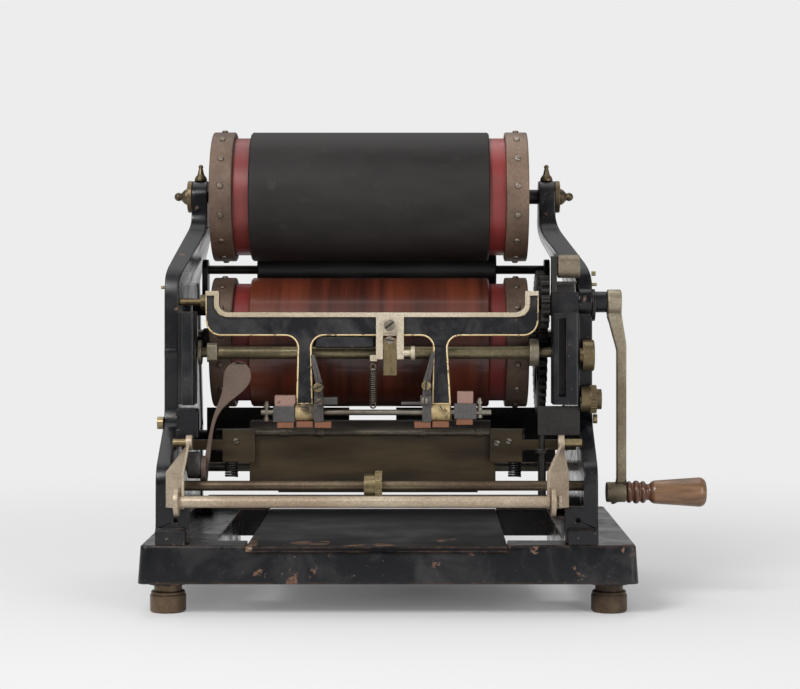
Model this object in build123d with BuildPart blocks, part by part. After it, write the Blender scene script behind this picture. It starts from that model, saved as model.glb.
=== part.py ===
from build123d import *
import os
from math import atan2, cos, degrees, hypot, pi, radians, sin

# A rotary stencil duplicator: two drums one above the other between two cast side frames, a hand crank,
# a swinging feed carriage in front and a liftable impression roller below.
# Millimetres, +Z up, the operator stands on the -Y side. Places are given from the plane halfway along the
# drums and from the plane of the drums' axes; spot() shifts them so that the origin is on the floor,
# under the middle of the whole machine.


# fits
RUNNING = 0.05
CLEAR = 0.4

# drums
UPPER_AXIS_Z = 408.0
LOWER_AXIS_Z = 257.0
DRUM_LENGTH = 245.0
DRUM_RADIUS = 66.8
DRUM_WALL = 4.0
DRUM_CHAMFER = 1.5
BAND_WIDTH = 16.5
BAND_RADIUS = 60.8
BAND_WALL = 4.0
RIM_RADIUS = 67.0
RIM_WIDTH = 23.0
RIM_WALL = 5.0
RIM_WEB = 5.0
RIM_HUB_RADIUS = 14.0
RIM_HOLES = 6
RIM_HOLE_RADIUS = 11.0
RIM_ROUND = 1.6
RIM_SCREWS = 14
RIM_SCREW_PHASE = 7.4
SCREW_RADIUS = 3.2
SCREW_HEIGHT = 1.9
SCREW_SHANK_RADIUS = 1.6
SCREW_DEPTH = 4.0
SHAFT_RADIUS = 6.0
SHAFT_COLLAR_RADIUS = 7.5
WHEEL_RADIUS = 62.0
WHEEL_WIDTH = 9.0
WHEEL_GAP = 5.0

# side frames
LEFT_GAP = 6.5
RIGHT_GAP = 12.5
LEFT_POST_WIDTH = 16.0
RIGHT_POST_WIDTH = 17.0
LEFT_KICK = 18.5
RIGHT_KICK = 31.5
FRAME_WALL = 14.0
FRAME_WEB = 12.5
FRAME_RECESS = 7.5
FRAME_FLANGE = 12.0
KICK_BELOW_AXIS = 30.0
KICK_RISE = 48.0
KICK_TOP_Z = UPPER_AXIS_Z - KICK_BELOW_AXIS
KICK_BOTTOM_Z = KICK_TOP_Z - KICK_RISE
KICK_DROP = 8.0
KICK_ROUND = 40.0
FRAME_SPARE = 30.0
POST_HEAD_RADIUS = 16.5
FRAME_FRONT = 95.0
FRAME_REAR = 112.0
FRAME_FOOT_FRONT = 166.0
FRAME_FOOT_REAR = 150.0
FOOT_SWEEP_BOTTOM_Z = 138.0
FOOT_SWEEP_TOP_Z = 182.0
SHOULDER_Z = 322.0
SHOULDER_LIFT = 8.0
BOSS_MARGIN = 9.0
PLINTH_WIDTH = 29.0
PLINTH_INSET = 0.5
TOE_WIDTH = 32.0
TOE_DEPTH = 12.0
TOE_TOP_Z = 103.0
TOE_HOLE_INSET = 19.5
TOE_HOLE_Z = 90.0
TOE_HOLE_RADIUS = 2.2
PLINTH_HEIGHT = 14.0
PLINTH_DEPTH = 56.0
BOLT_RADIUS = 3.0

# base
BASE_MARGIN_LEFT = 16.0
BASE_MARGIN_RIGHT = 38.0
BASE_DEPTH = 360.0
BASE_BOTTOM_Z = 30.5
BASE_TOP_Z = 67.5
BASE_DRAFT = 4.0
BASE_WALL = 7.0
BASE_DECK = 6.0
BASE_ROUND = 5.0
OPENING_MARGIN_LEFT = 56.0
OPENING_MARGIN_RIGHT = 31.0
OPENING_MARGIN_FRONT = 42.0
OPENING_MARGIN_REAR = 38.0
REAR_ARCH_OVER = 18.0
REAR_ARCH_RISE = 8.0
REAR_LIP_HEIGHT = 13.5
REAR_LIP_DEPTH = 8.0
REAR_LIP_INSET = 6.0
REAR_LIP_GAP = 3.0
FOOT_RADIUS = 17.5
FOOT_NECK_RADIUS = 13.5
FOOT_HEIGHT = 20.5
FOOT_INSET_X = 26.0
FOOT_INSET_Y = 33.0
FOOT_BOSS_RADIUS = 20.5
FOOT_BOSS_DROP = 3.5

# table plate
TABLE_GAP_LEFT = 31.0
TABLE_GAP_RIGHT = 56.0
TABLE_THICKNESS = 3.5
TABLE_REAR_INSET = 4.0
TABLE_LIP_DEPTH = 5.0
TABLE_LIP_HEIGHT = 5.5
NOTCH_DEPTH = 6.0

# ink roller, in the wedge behind the two drums
INK_RADIUS = 21.6
INK_INSET_LEFT = 2.5
INK_REACH_RIGHT = 9.5
INK_SHAFT_RADIUS = 4.6
INK_BRACKET_THICKNESS = 6.0
INK_BRACKET_DEPTH = 22.0

# crank and its gears
CRANK_Y = -86.0
CRANK_Z = 299.5
PINION_TEETH = 15
DRUM_TEETH = 45
GEAR_WIDTH = 8.0
GEAR_RUN = 10.0
TOOTH_PITCH_SHARE = 0.20
TOOTH_TIP_SHARE = 0.09
TOOTH_ROOT_SHARE = 0.25
ADDENDUM = 0.85
DEDENDUM = 1.15
SLEEVE_LENGTH = 15.0
SLEEVE_RADIUS = 10.5
SLEEVE_FLANGE_RADIUS = 16.0
SLEEVE_FLANGE_DROP = 3.0
SLEEVE_FLANGE = 3.0
ARM_HEAD_WIDTH = 14.0
ARM_HEAD_RADIUS = 12.5
ARM_THICKNESS = 9.5
ARM_DEPTH = 11.0
ARM_JOGGLE = 6.0
CRANK_THROW = 190.0
ARM_BOSS_RADIUS = 10.0
ARM_BOSS_WIDTH = 20.0
GRIP_LENGTH = 79.5
GRIP_RADIUS = 14.8
SPINDLE_RADIUS = 4.0

# feed rock shaft
FEED_Y = -82.0
FEED_Z = 249.0
FEED_TUBE_RADIUS = 6.7
FEED_END_RADIUS = 5.0
FEED_HUB_RADIUS = 13.7
FEED_HUB_WIDTH = 10.0
CLAMP_WIDTH = 10.0
CLAMP_SIZE = 19.0
CAM_RADIUS = 12.4
CAM_WIDTH = 3.0

# feed carriage
CARRIAGE_INSET = 1.0
GEAR_SIDE_GAP = 3.0
CARRIAGE_FRONT = -103.0
CARRIAGE_THICKNESS = 7.0
BEAM_BOTTOM_Z = 266.0
BEAM_TOP_Z = 289.2
EAR_TOP_Z = 310.5
EAR_WIDTH = 13.5
EAR_ROUND = 9.0
BEAM_ROUND = 15.0
LEG_WIDTH = 13.5
LEFT_LEG_INSET = 59.5
RIGHT_LEG_INSET = 51.0
LEG_FLARE = 5.0
ARCH_ROUND = 12.0
FLANGE_THICKNESS = 4.5
FLANGE_DEPTH = 12.0
LUG_WIDTH = 8.0
LUG_RADIUS = 10.5
STUD_RADIUS = 3.5
STUD_RING_RADIUS = 7.5
STUD_RING_WIDTH = 6.0
FORK_LEFT = 8.0
FORK_WIDTH = 27.5
FORK_TOP_Z = 289.0
FORK_BOTTOM_Z = 243.0
FORK_TINE = 7.0
FORK_THICKNESS = 5.0
KNOB_ON_FORK_RADIUS = 7.0
SPRING_X = 5.0
SPRING_TOP_Z = 240.0
SPRING_RADIUS = 4.3
SPRING_WIRE = 0.9
SPRING_TURNS = 16

# feed rod with its fingers
ROD_Z = 190.2
ROD_RADIUS = 2.85
ROD_REACH_LEFT = 43.0
ROD_REACH_RIGHT = 50.5
LEG_BOSS_RADIUS = 8.5
LEG_BOSS_WIDTH = 18.5
PAD_THICKNESS = 6.0

# paper guide plate
GUIDE_INSET_LEFT = 14.0
GUIDE_INSET_RIGHT = 7.0
GUIDE_Y = -56.0
GUIDE_TOP_Z = 171.0
GUIDE_STEP_Z = 138.0
GUIDE_BOTTOM_Z = 116.0
GUIDE_SHOULDER = 27.0
GUIDE_SKIRT_DROP = 9.5
GUIDE_SKIRT_LEFT = 56.0
GUIDE_SKIRT_RIGHT = 45.0
GUIDE_THICKNESS = 3.0
GUIDE_RAIL_RADIUS = 3.6
GUIDE_BRACKET_WIDTH = 33.0
GUIDE_SPRING_RADIUS = 7.0
GUIDE_SPRING_TURNS = 5

# impression roller and its cradle
CRADLE_Y = 95.0
CRADLE_Z = 152.0
IMPRESSION_Z = 155.0
IMPRESSION_RADIUS = 21.0
IMPRESSION_OVERLAP = 2.5
IMPRESSION_SHAFT_RADIUS = 6.0
CRADLE_SHAFT_RADIUS = 7.0
CRADLE_ARM_WIDTH = 8.0
CRADLE_ARM_GAP = 27.0
CRADLE_ARM_RADIUS = 12.0
CRADLE_BAR_RADIUS = 5.0
CRADLE_BAR_SETBACK = 38.0
APRON_THICKNESS = 3.0
APRON_BOTTOM_Z = 127.0
APRON_TOP_Z = 185.5
APRON_NOTCH_Z = 166.0
APRON_NOTCH_RIGHT = 26.0
APRON_NOTCH_LEFT = -24.0
APRON_SIDE_GAP = 13.0

# impression lever
LEVER_Y = -128.0
LEVER_Z = 140.2
LEVER_HUB_RADIUS = 13.2
LEVER_HUB_WIDTH = 14.0
LEVER_PLATE_RADIUS = 13.0
LEVER_PLATE = 5.0
LEVER_STUD_RADIUS = 5.0
PADDLE_THICKNESS = 3.5

# bail
BAIL_BAR_Y = -189.5
BAIL_BAR_Z = 110.4
BAIL_BAR_RADIUS = 5.75
BAIL_PIVOT_Y = -141.0
BAIL_PIVOT_Z = 163.0
BAIL_SHEET = 2.5
BAIL_STUD_RADIUS = 4.0
BAIL_HUB_RADIUS = 7.5
BAIL_HUB_WIDTH = 6.0
BAIL_WASHER_RADIUS = 13.5

# gauge shaft with its milled wheel
GAUGE_Y = -140.0
GAUGE_Z = 121.0
GAUGE_RADIUS = 4.9
WHEEL_RADIUS = 14.6
WHEEL_WIDTH = 6.8
WHEEL_HUB_RADIUS = 11.7
WHEEL_HUB_WIDTH = 10.7
WHEEL_X = 7.8
WHEEL_NOTCHES = 36

# right-hand fittings
SLOT_BLOCK_WIDTH = 27.0
SLOT_BLOCK_FRONT = -122.0
SLOT_BLOCK_REAR = -90.0
SLOT_BLOCK_TOP_Z = 289.0
SLOT_BLOCK_BOTTOM_Z = 198.7
SLOT_WIDTH = 7.0
SLOT_DEPTH = 14.0
GUIDE_BOSS_RADIUS = 10.0
KNOB_RADIUS = 14.0
KNOB_WIDTH = 15.0
KNOB_Z = 203.8
SIDE_ROLLER_RADIUS = 11.5
SIDE_ROLLER_LENGTH = 22.0
SIDE_ROLLER_Y = -100.0
SIDE_ROLLER_Z = 335.0
PILLAR_INSET = 37.0
PILLAR_Y = -110.0
PILLAR_RADIUS = 4.0
PILLAR_BOTTOM_Z = 107.0
PILLAR_TOP_Z = 150.5

# what follows from the sizes above
cylinder_end = DRUM_LENGTH / 2
rim_in = cylinder_end + BAND_WIDTH
rim_out = rim_in + RIM_WIDTH
left_post_in = rim_out + LEFT_GAP
left_post_out = left_post_in + LEFT_POST_WIDTH
left_out = left_post_out + LEFT_KICK
left_in = left_out - FRAME_WALL
right_post_in = rim_out + RIGHT_GAP
right_post_out = right_post_in + RIGHT_POST_WIDTH
right_out = right_post_out + RIGHT_KICK
right_in = right_out - FRAME_WALL

base_left = -left_out - BASE_MARGIN_LEFT
base_right = right_out + BASE_MARGIN_RIGHT
base_width = base_right - base_left
base_mid_x = (base_left + base_right) / 2
opening_left = OPENING_MARGIN_LEFT - left_out
opening_right = right_out - OPENING_MARGIN_RIGHT
opening_front = OPENING_MARGIN_FRONT - BASE_DEPTH / 2
opening_rear = BASE_DEPTH / 2 - OPENING_MARGIN_REAR
table_rear = BASE_DEPTH / 2 - TABLE_REAR_INSET

sleeve_end = right_out + SLEEVE_LENGTH
arm_from = sleeve_end + CLEAR
arm_to = arm_from + ARM_HEAD_WIDTH
arm_out = arm_to + ARM_JOGGLE - 1
grip_from = arm_out + CLEAR
grip_to = grip_from + GRIP_LENGTH

# the part's own origin: under the middle of the box that holds the whole machine
mid_x = -(base_left + grip_to) / 2
mid_y = -(BAIL_BAR_Y - BAIL_WASHER_RADIUS + BASE_DEPTH / 2) / 2

UPPER = (0.0, UPPER_AXIS_Z)
LOWER = (0.0, LOWER_AXIS_Z)
CRANK = (CRANK_Y, CRANK_Z)
FEED = (FEED_Y, FEED_Z)
CRADLE = (CRADLE_Y, CRADLE_Z)
IMPRESSION = (0.0, IMPRESSION_Z)
LEVER = (LEVER_Y, LEVER_Z)
BAIL = (BAIL_PIVOT_Y, BAIL_PIVOT_Z)
GAUGE = (GAUGE_Y, GAUGE_Z)

ink_z = (UPPER_AXIS_Z + LOWER_AXIS_Z) / 2
ink_reach = DRUM_RADIUS + INK_RADIUS + CLEAR
ink_y = (ink_reach**2 - (UPPER_AXIS_Z - ink_z) ** 2) ** 0.5
INK = (ink_y, ink_z)

gear_centres = hypot(CRANK_Y, CRANK_Z - LOWER_AXIS_Z)
gear_module = 2 * gear_centres / (DRUM_TEETH + PINION_TEETH)
gear_x = rim_out + GEAR_RUN
fitting_x = gear_x + GEAR_WIDTH + 2
carriage_left = CARRIAGE_INSET - rim_out
carriage_right = gear_x - GEAR_SIDE_GAP
lug_right = carriage_right - LUG_WIDTH
feed_tube_left = carriage_left + CLAMP_WIDTH
feed_tube_right = lug_right
left_leg_x = LEFT_LEG_INSET - cylinder_end
right_leg_x = cylinder_end - RIGHT_LEG_INSET
rod_left = left_leg_x - ROD_REACH_LEFT
rod_right = right_leg_x + ROD_REACH_RIGHT
ink_left = INK_INSET_LEFT - cylinder_end
ink_right = cylinder_end + INK_REACH_RIGHT
impression_length = 2 * (cylinder_end + IMPRESSION_OVERLAP)
guide_left = GUIDE_INSET_LEFT - rim_out
guide_right = rim_out - GUIDE_INSET_RIGHT
pillar_x = right_in - PILLAR_INSET

rod_y = CARRIAGE_FRONT - 1.0


def spot(x, y, z):
    """A point of the machine, in the part's own frame."""
    return (mid_x + x, mid_y + y, z)


def on_axis(x, axis):
    """The plane across a shaft at x: its normal is +X, its own x is the machine's Y and its own y is Z."""
    return Plane(origin=spot(x, axis[0], axis[1]), x_dir=(0, 1, 0), z_dir=(1, 0, 0))


def across(x):
    """The plane at x, seen from the right: its own x is the machine's Y and its own y is Z."""
    return on_axis(x, (0, 0))


def facing(y):
    """The plane at y, seen from the front: its own x is the machine's X, its own y is Z, normal -Y."""
    return Plane(origin=spot(0, y, 0), x_dir=(1, 0, 0), z_dir=(0, -1, 0))


def level(z):
    """The level plane at z: its own x and y are the machine's X and Y."""
    return Plane(origin=spot(0, 0, z), x_dir=(1, 0, 0), z_dir=(0, 0, 1))


def turn(x_from, x_to, radius, axis, mode=Mode.ADD):
    """A cylinder along X on an axis, in the part being made."""
    with BuildSketch(on_axis(x_from, axis)) as disc:
        Circle(radius)
    extrude(disc.sketch, amount=x_to - x_from, mode=mode)


def bore(x_from, x_to, radius, axis):
    """A hole along X on an axis, in the part being made."""
    turn(x_from, x_to, radius, axis, mode=Mode.SUBTRACT)


def block(x_from, x_to, y_from, y_to, z_from, z_to, mode=Mode.ADD):
    """A box between two corners, in the part being made."""
    middle = spot((x_from + x_to) / 2, (y_from + y_to) / 2, (z_from + z_to) / 2)
    with Locations(middle):
        Box(abs(x_to - x_from), abs(y_to - y_from), abs(z_to - z_from), mode=mode)


def upright(x, y, z_from, z_to, radius, mode=Mode.ADD):
    """A cylinder along Z, in the part being made."""
    with BuildSketch(level(z_from)) as disc:
        with Locations((x, y)):
            Circle(radius)
    extrude(disc.sketch, amount=z_to - z_from, mode=mode)


def keep(piece, name):
    """Labels a finished piece and writes it to its own file."""
    piece.part.label = name
    export_step(piece.part, f"parts/{name}.step")


os.makedirs("parts", exist_ok=True)


# base casting: a drafted ring of channel section, open in the middle and hollow underneath
base_height = BASE_TOP_Z - BASE_BOTTOM_Z
draft_spread = 2 * base_height * sin(radians(BASE_DRAFT))
foot_xs = (base_left + FOOT_INSET_X, base_right - FOOT_INSET_X)
foot_ys = (-BASE_DEPTH / 2 + FOOT_INSET_Y, BASE_DEPTH / 2 - FOOT_INSET_Y)
foot_places = [(x, y) for x in foot_xs for y in foot_ys]
table_left = opening_left + TABLE_GAP_LEFT
table_right = opening_right - TABLE_GAP_RIGHT
table_bottom = BASE_TOP_Z - NOTCH_DEPTH

with BuildPart() as base_casting:
    with BuildSketch(level(BASE_TOP_Z)) as deck:
        with Locations((base_mid_x, 0)):
            RectangleRounded(base_width - draft_spread, BASE_DEPTH - draft_spread, BASE_ROUND)
    extrude(deck.sketch, amount=-base_height, taper=-BASE_DRAFT)
    chamfer(base_casting.faces().sort_by(Axis.Z)[-1].edges(), 1.2)
    block(opening_left, opening_right, opening_front, opening_rear, BASE_BOTTOM_Z - 1, BASE_TOP_Z + 1,
          Mode.SUBTRACT)
    rail_top = BASE_TOP_Z - BASE_DECK
    front_inside = -BASE_DEPTH / 2 + BASE_WALL
    rear_inside = BASE_DEPTH / 2 - BASE_WALL
    block(base_left + BASE_WALL, opening_left - BASE_WALL, front_inside, rear_inside,
          BASE_BOTTOM_Z - 1, rail_top, Mode.SUBTRACT)
    block(opening_right + BASE_WALL, base_right - BASE_WALL, front_inside, rear_inside,
          BASE_BOTTOM_Z - 1, rail_top, Mode.SUBTRACT)
    wall_top = table_bottom - BASE_DECK
    block(opening_left - 1, opening_right + 1, front_inside, opening_front - BASE_WALL,
          BASE_BOTTOM_Z - 1, wall_top, Mode.SUBTRACT)
    block(opening_left - 1, opening_right + 1, opening_rear + BASE_WALL, rear_inside,
          BASE_BOTTOM_Z - 1, wall_top, Mode.SUBTRACT)
    block(table_left - CLEAR, table_right + CLEAR, -BASE_DEPTH, BASE_DEPTH, table_bottom, BASE_TOP_Z + 1,
          Mode.SUBTRACT)
    block(opening_left - REAR_ARCH_OVER, opening_right + REAR_ARCH_OVER, opening_rear - 1, BASE_DEPTH,
          BASE_BOTTOM_Z - 1, BASE_BOTTOM_Z + REAR_ARCH_RISE, Mode.SUBTRACT)
    # raised lip along the rear rail, between the side frames
    block(REAR_LIP_GAP - left_in, right_in - REAR_LIP_GAP, BASE_DEPTH / 2 - REAR_LIP_INSET - REAR_LIP_DEPTH,
          BASE_DEPTH / 2 - REAR_LIP_INSET, BASE_TOP_Z - 1, BASE_TOP_Z + REAR_LIP_HEIGHT)
    for foot_x, foot_y in foot_places:
        upright(foot_x, foot_y, BASE_BOTTOM_Z - FOOT_BOSS_DROP, rail_top, FOOT_BOSS_RADIUS)
keep(base_casting, "base_casting")

# four turned feet under the corners
with BuildPart() as foot:
    with BuildSketch(Plane.XZ):
        with BuildLine():
            neck_top = BASE_BOTTOM_Z - FOOT_BOSS_DROP
            Polyline(
                (0, 0), (FOOT_RADIUS - 1.5, 0), (FOOT_RADIUS, 1.5), (FOOT_RADIUS, FOOT_HEIGHT - 4),
                (FOOT_RADIUS - 1, FOOT_HEIGHT - 3), (FOOT_RADIUS - 1, FOOT_HEIGHT - 1),
                (FOOT_RADIUS - 2, FOOT_HEIGHT),
                (FOOT_NECK_RADIUS, FOOT_HEIGHT), (FOOT_NECK_RADIUS, neck_top), (0, neck_top), (0, 0),
            )
        make_face()
    revolve(axis=Axis.Z)
with BuildPart() as feet:
    with Locations(*[spot(x, y, 0) for x, y in foot_places]):
        add(foot.part)
keep(feet, "feet")

# loose table plate that lies in the base's notches, with a turned-down lip in front
with BuildPart() as table_plate:
    block(table_left, table_right, -BASE_DEPTH / 2 - TABLE_LIP_DEPTH + 3, table_rear, table_bottom,
          table_bottom + TABLE_THICKNESS)
    block(table_left, table_right, -BASE_DEPTH / 2 - TABLE_LIP_DEPTH + 3, -BASE_DEPTH / 2 + 3,
          table_bottom, table_bottom + TABLE_LIP_HEIGHT)
    fillet(table_plate.edges().filter_by(Axis.Z).group_by(Axis.Y)[0], 3)
    chamfer(table_plate.faces().sort_by(Axis.Z)[-1].edges(), 0.6)
keep(table_plate, "table_plate")


def frame_band(side, inset, reach_in):
    """The side frame's shape seen from the front: a post that kicks outwards below the upper drum."""
    if side < 0:
        post_in, post_out, low_in, low_out = left_post_in, left_post_out, left_in, left_out
    else:
        post_in, post_out, low_in, low_out = right_post_in, right_post_out, right_in, right_out
    top = UPPER_AXIS_Z + POST_HEAD_RADIUS + 1
    outer_low = side * (low_out - inset)
    outer_top = side * (post_out - inset)
    inner_low = side * (low_in - reach_in)
    inner_top = side * (post_in - reach_in)
    with BuildSketch(facing(BASE_DEPTH / 2)) as band:
        with BuildLine():
            FilletPolyline((outer_low, BASE_TOP_Z), (outer_low, KICK_BOTTOM_Z), (outer_top, KICK_TOP_Z),
                           (outer_top, top),
                           radius=KICK_ROUND)
            Line((outer_top, top), (inner_top, top))
            FilletPolyline((inner_top, top), (inner_top, KICK_TOP_Z - KICK_DROP),
                           (inner_low, KICK_BOTTOM_Z - KICK_DROP),
                           (inner_low, BASE_TOP_Z), radius=KICK_ROUND)
            Line((inner_low, BASE_TOP_Z), (outer_low, BASE_TOP_Z))
        make_face()
    return band.sketch


def frame_outline(plane):
    """The side frame's outline seen from the side: a head round the upper axis on a spreading body."""
    neck_z = UPPER_AXIS_Z - POST_HEAD_RADIUS
    rear_shoulder_z = SHOULDER_Z + SHOULDER_LIFT
    with BuildSketch(plane) as outline:
        with BuildLine():
            FilletPolyline(
                (-FRAME_FOOT_FRONT, BASE_TOP_Z),
                (-FRAME_FOOT_FRONT, FOOT_SWEEP_BOTTOM_Z),
                (-FRAME_FRONT, FOOT_SWEEP_TOP_Z),
                (-FRAME_FRONT, SHOULDER_Z),
                (-POST_HEAD_RADIUS, neck_z - 10),
                (-POST_HEAD_RADIUS, UPPER_AXIS_Z),
                (POST_HEAD_RADIUS, UPPER_AXIS_Z),
                (POST_HEAD_RADIUS, neck_z - 10),
                (FRAME_REAR, rear_shoulder_z),
                (FRAME_FOOT_REAR, FOOT_SWEEP_TOP_Z - 20),
                (FRAME_FOOT_REAR, BASE_TOP_Z),
                radius=(0.5, 26, 26, 40, 24, 0.5, 0.5, 24, 60, 40, 0.5),
                close=True,
            )
        make_face()
        with Locations((0, UPPER_AXIS_Z)):
            Circle(POST_HEAD_RADIUS)
    return outline


# shafts that run in the side frames: axis and bore radius
frame_bores = [
    (LOWER, SHAFT_RADIUS + 3),
    (FEED, FEED_END_RADIUS + RUNNING),
    (CRADLE, CRADLE_SHAFT_RADIUS + RUNNING),
    (GAUGE, GAUGE_RADIUS + RUNNING),
]


def side_frame(side):
    """One cast side frame: a web with a flange all round, bosses for the shafts and a plinth in front."""
    low_in, low_out = (left_in, left_out) if side < 0 else (right_in, right_out)
    span = (side * low_in, side * low_out)
    post_in = left_post_in if side < 0 else right_post_in
    near_x = min(side * (post_in - 1), side * (low_out + 1))
    reach = low_out - post_in + 2
    panel_top = KICK_BOTTOM_Z - FRAME_FLANGE
    outline = frame_outline(across(near_x))
    with BuildSketch(across(near_x)) as panel:
        add(outline.sketch_local)
        offset(amount=-FRAME_FLANGE)
        with Locations((0, panel_top + BASE_DEPTH / 2)):
            Rectangle(2 * BASE_DEPTH, BASE_DEPTH, mode=Mode.SUBTRACT)
    body = extrude(frame_band(side, 0, 0), amount=BASE_DEPTH, mode=Mode.PRIVATE) & extrude(
        outline.sketch, amount=reach, mode=Mode.PRIVATE)
    prism = extrude(panel.sketch, amount=reach, mode=Mode.PRIVATE)
    pocket = extrude(frame_band(side, FRAME_WEB, FRAME_SPARE), amount=BASE_DEPTH, mode=Mode.PRIVATE) & prism
    recess = extrude(frame_band(side, -FRAME_SPARE, FRAME_RECESS - FRAME_WALL), amount=BASE_DEPTH,
                     mode=Mode.PRIVATE)
    with BuildPart() as frame:
        add(body - pocket)
        add(recess & prism, mode=Mode.SUBTRACT)
        toe_x = (side * (low_out - TOE_WIDTH), side * low_out)
        block(min(toe_x), max(toe_x), -FRAME_FOOT_FRONT, TOE_DEPTH - FRAME_FOOT_FRONT, BASE_TOP_Z, TOE_TOP_Z)
        with Locations(spot(side * (low_out - TOE_HOLE_INSET), -FRAME_FOOT_FRONT, TOE_HOLE_Z)):
            Cylinder(TOE_HOLE_RADIUS, TOE_DEPTH, rotation=(90, 0, 0), mode=Mode.SUBTRACT)
        plinth_mid = side * (low_out - PLINTH_INSET - PLINTH_WIDTH / 2)
        for y_from in (-BASE_DEPTH / 2 + 4, FRAME_FOOT_REAR - PLINTH_DEPTH + 8):
            block(plinth_mid - PLINTH_WIDTH / 2, plinth_mid + PLINTH_WIDTH / 2, y_from,
                  y_from + PLINTH_DEPTH,
                  BASE_TOP_Z, BASE_TOP_Z + PLINTH_HEIGHT)
        for axis, hole in frame_bores:
            turn(min(span), max(span), hole + BOSS_MARGIN, axis)
        if side > 0:
            turn(min(span), max(span), SHAFT_RADIUS + BOSS_MARGIN, CRANK)
        for axis, hole in frame_bores:
            bore(min(span) - 1, max(span) + 1, hole, axis)
        if side > 0:
            bore(min(span) - 1, max(span) + 1, SHAFT_RADIUS + RUNNING, CRANK)
        post = (left_post_in, left_post_out) if side < 0 else (right_post_in, right_post_out)
        bore(min(side * post[0], side * post[1]) - 1, max(side * post[0], side * post[1]) + 1,
             SHAFT_RADIUS + RUNNING, UPPER)
        upright(side * (post[0] + post[1]) / 2, 0, UPPER_AXIS_Z + SHAFT_RADIUS, UPPER_AXIS_Z + 30, 1.5,
                Mode.SUBTRACT)
        for y in (-BASE_DEPTH / 2 + 4 + PLINTH_DEPTH / 2, FRAME_FOOT_REAR + 8 - PLINTH_DEPTH / 2):
            upright(plinth_mid, y, BASE_TOP_Z - 1, BASE_TOP_Z + PLINTH_HEIGHT + 1, BOLT_RADIUS,
                    Mode.SUBTRACT)
    return frame


left_side_frame = side_frame(-1)
keep(left_side_frame, "left_side_frame")
right_side_frame = side_frame(1)
keep(right_side_frame, "right_side_frame")

# bolts up through the plinths into the frames
plinth_left = PLINTH_WIDTH / 2 + PLINTH_INSET - left_out
plinth_right = right_out - PLINTH_INSET - PLINTH_WIDTH / 2
bolt_ys = (-BASE_DEPTH / 2 + 4 + PLINTH_DEPTH / 2, FRAME_FOOT_REAR + 8 - PLINTH_DEPTH / 2)
bolt_top = BASE_TOP_Z + PLINTH_HEIGHT - 1
with BuildPart() as frame_bolts:
    for bolt_x in (plinth_left, plinth_right):
        for bolt_y in bolt_ys:
            upright(bolt_x, bolt_y, BASE_TOP_Z, bolt_top, BOLT_RADIUS)
keep(frame_bolts, "frame_bolts")

# rear stays that tie the two frames together
STAY_RADIUS = 6.0
STAY_PLACES = [(118.0, 118.0), (96.0, 262.0)]
with BuildPart() as rear_stays:
    for stay in STAY_PLACES:
        turn(-left_in, right_in, STAY_RADIUS, stay)
keep(rear_stays, "rear_stays")


def end_cap(x, side):
    """A brass cap on a post: a disc, a stepped cone and a ball, revolved about the upper axis."""
    disc_radius = POST_HEAD_RADIUS
    ball_x = 15.0
    ball_radius = 4.4
    with BuildSketch(Plane(origin=spot(x, 0, UPPER_AXIS_Z), x_dir=(side, 0, 0),
                           z_dir=(0, -side, 0))) as half:
        with BuildLine():
            Polyline((0, 0), (0, disc_radius - 0.6), (0.6, disc_radius), (4.4, disc_radius),
                     (5, disc_radius - 0.6),
                     (5, 8.4), (7.4, 8.2), (8.2, 7.4), (9.2, 7.0),
                     (ball_x - ball_radius * 0.6, ball_radius * 0.8))
            ThreePointArc((ball_x - ball_radius * 0.6, ball_radius * 0.8), (ball_x, ball_radius),
                          (ball_x + ball_radius, 0))
            Line((ball_x + ball_radius, 0), (0, 0))
        make_face()
    revolve(half.sketch, axis=Axis(spot(x, 0, UPPER_AXIS_Z), (1, 0, 0)))


with BuildPart() as drum_end_caps:
    end_cap(-left_post_out, -1)
    end_cap(right_post_out, 1)
keep(drum_end_caps, "drum_end_caps")

# oil cups screwed into the tops of the posts
CUP_HEIGHT = 17.0
ball_z = CUP_HEIGHT - 2.5
with BuildPart() as oil_cups:
    for cup_x in (-(left_post_in + left_post_out) / 2, (right_post_in + right_post_out) / 2):
        seat = UPPER_AXIS_Z + POST_HEAD_RADIUS
        with BuildSketch(Plane(origin=spot(cup_x, 0, seat), x_dir=(1, 0, 0), z_dir=(0, -1, 0))) as half:
            with BuildLine():
                Polyline((0, 0), (6.4, 0), (6.4, 2.2), (5.2, 4.6), (3.6, 6.4), (2.0, ball_z - 1.5))
                ThreePointArc((2.0, ball_z - 1.5), (2.5, ball_z), (0, ball_z + 2.5))
                Line((0, ball_z + 2.5), (0, 0))
            make_face()
        revolve(half.sketch, axis=Axis(spot(cup_x, 0, seat), (0, 0, 1)))
        upright(cup_x, 0, UPPER_AXIS_Z + SHAFT_RADIUS + 1, seat, 1.5)
keep(oil_cups, "oil_cups")

# bushes for the lower drum's shaft, pressed into the frames
BUSH_FLANGE = 3.0
with BuildPart() as lower_shaft_bushes:
    for bush_from, bush_to, face in ((-left_out, -left_in, -left_out),
                                     (right_in, right_out, right_out + BUSH_FLANGE)):
        turn(bush_from, bush_to, SHAFT_RADIUS + 3, LOWER)
        turn(face - BUSH_FLANGE, face, SHAFT_RADIUS + 8, LOWER)
        bore(bush_from - BUSH_FLANGE - 1, bush_to + BUSH_FLANGE + 1, SHAFT_RADIUS + RUNNING, LOWER)
keep(lower_shaft_bushes, "lower_shaft_bushes")


def screw(radius, height, shank_radius, shank_length):
    """A dome-headed screw that stands on the XY plane, with its shank below it."""
    with BuildPart() as one:
        Cylinder(radius, height, align=(Align.CENTER, Align.CENTER, Align.MIN))
        fillet(one.edges().filter_by(GeomType.CIRCLE).sort_by(Axis.Z)[-1], height * 0.8)
        Cylinder(shank_radius, shank_length, align=(Align.CENTER, Align.CENTER, Align.MAX))
    return one.part


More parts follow.
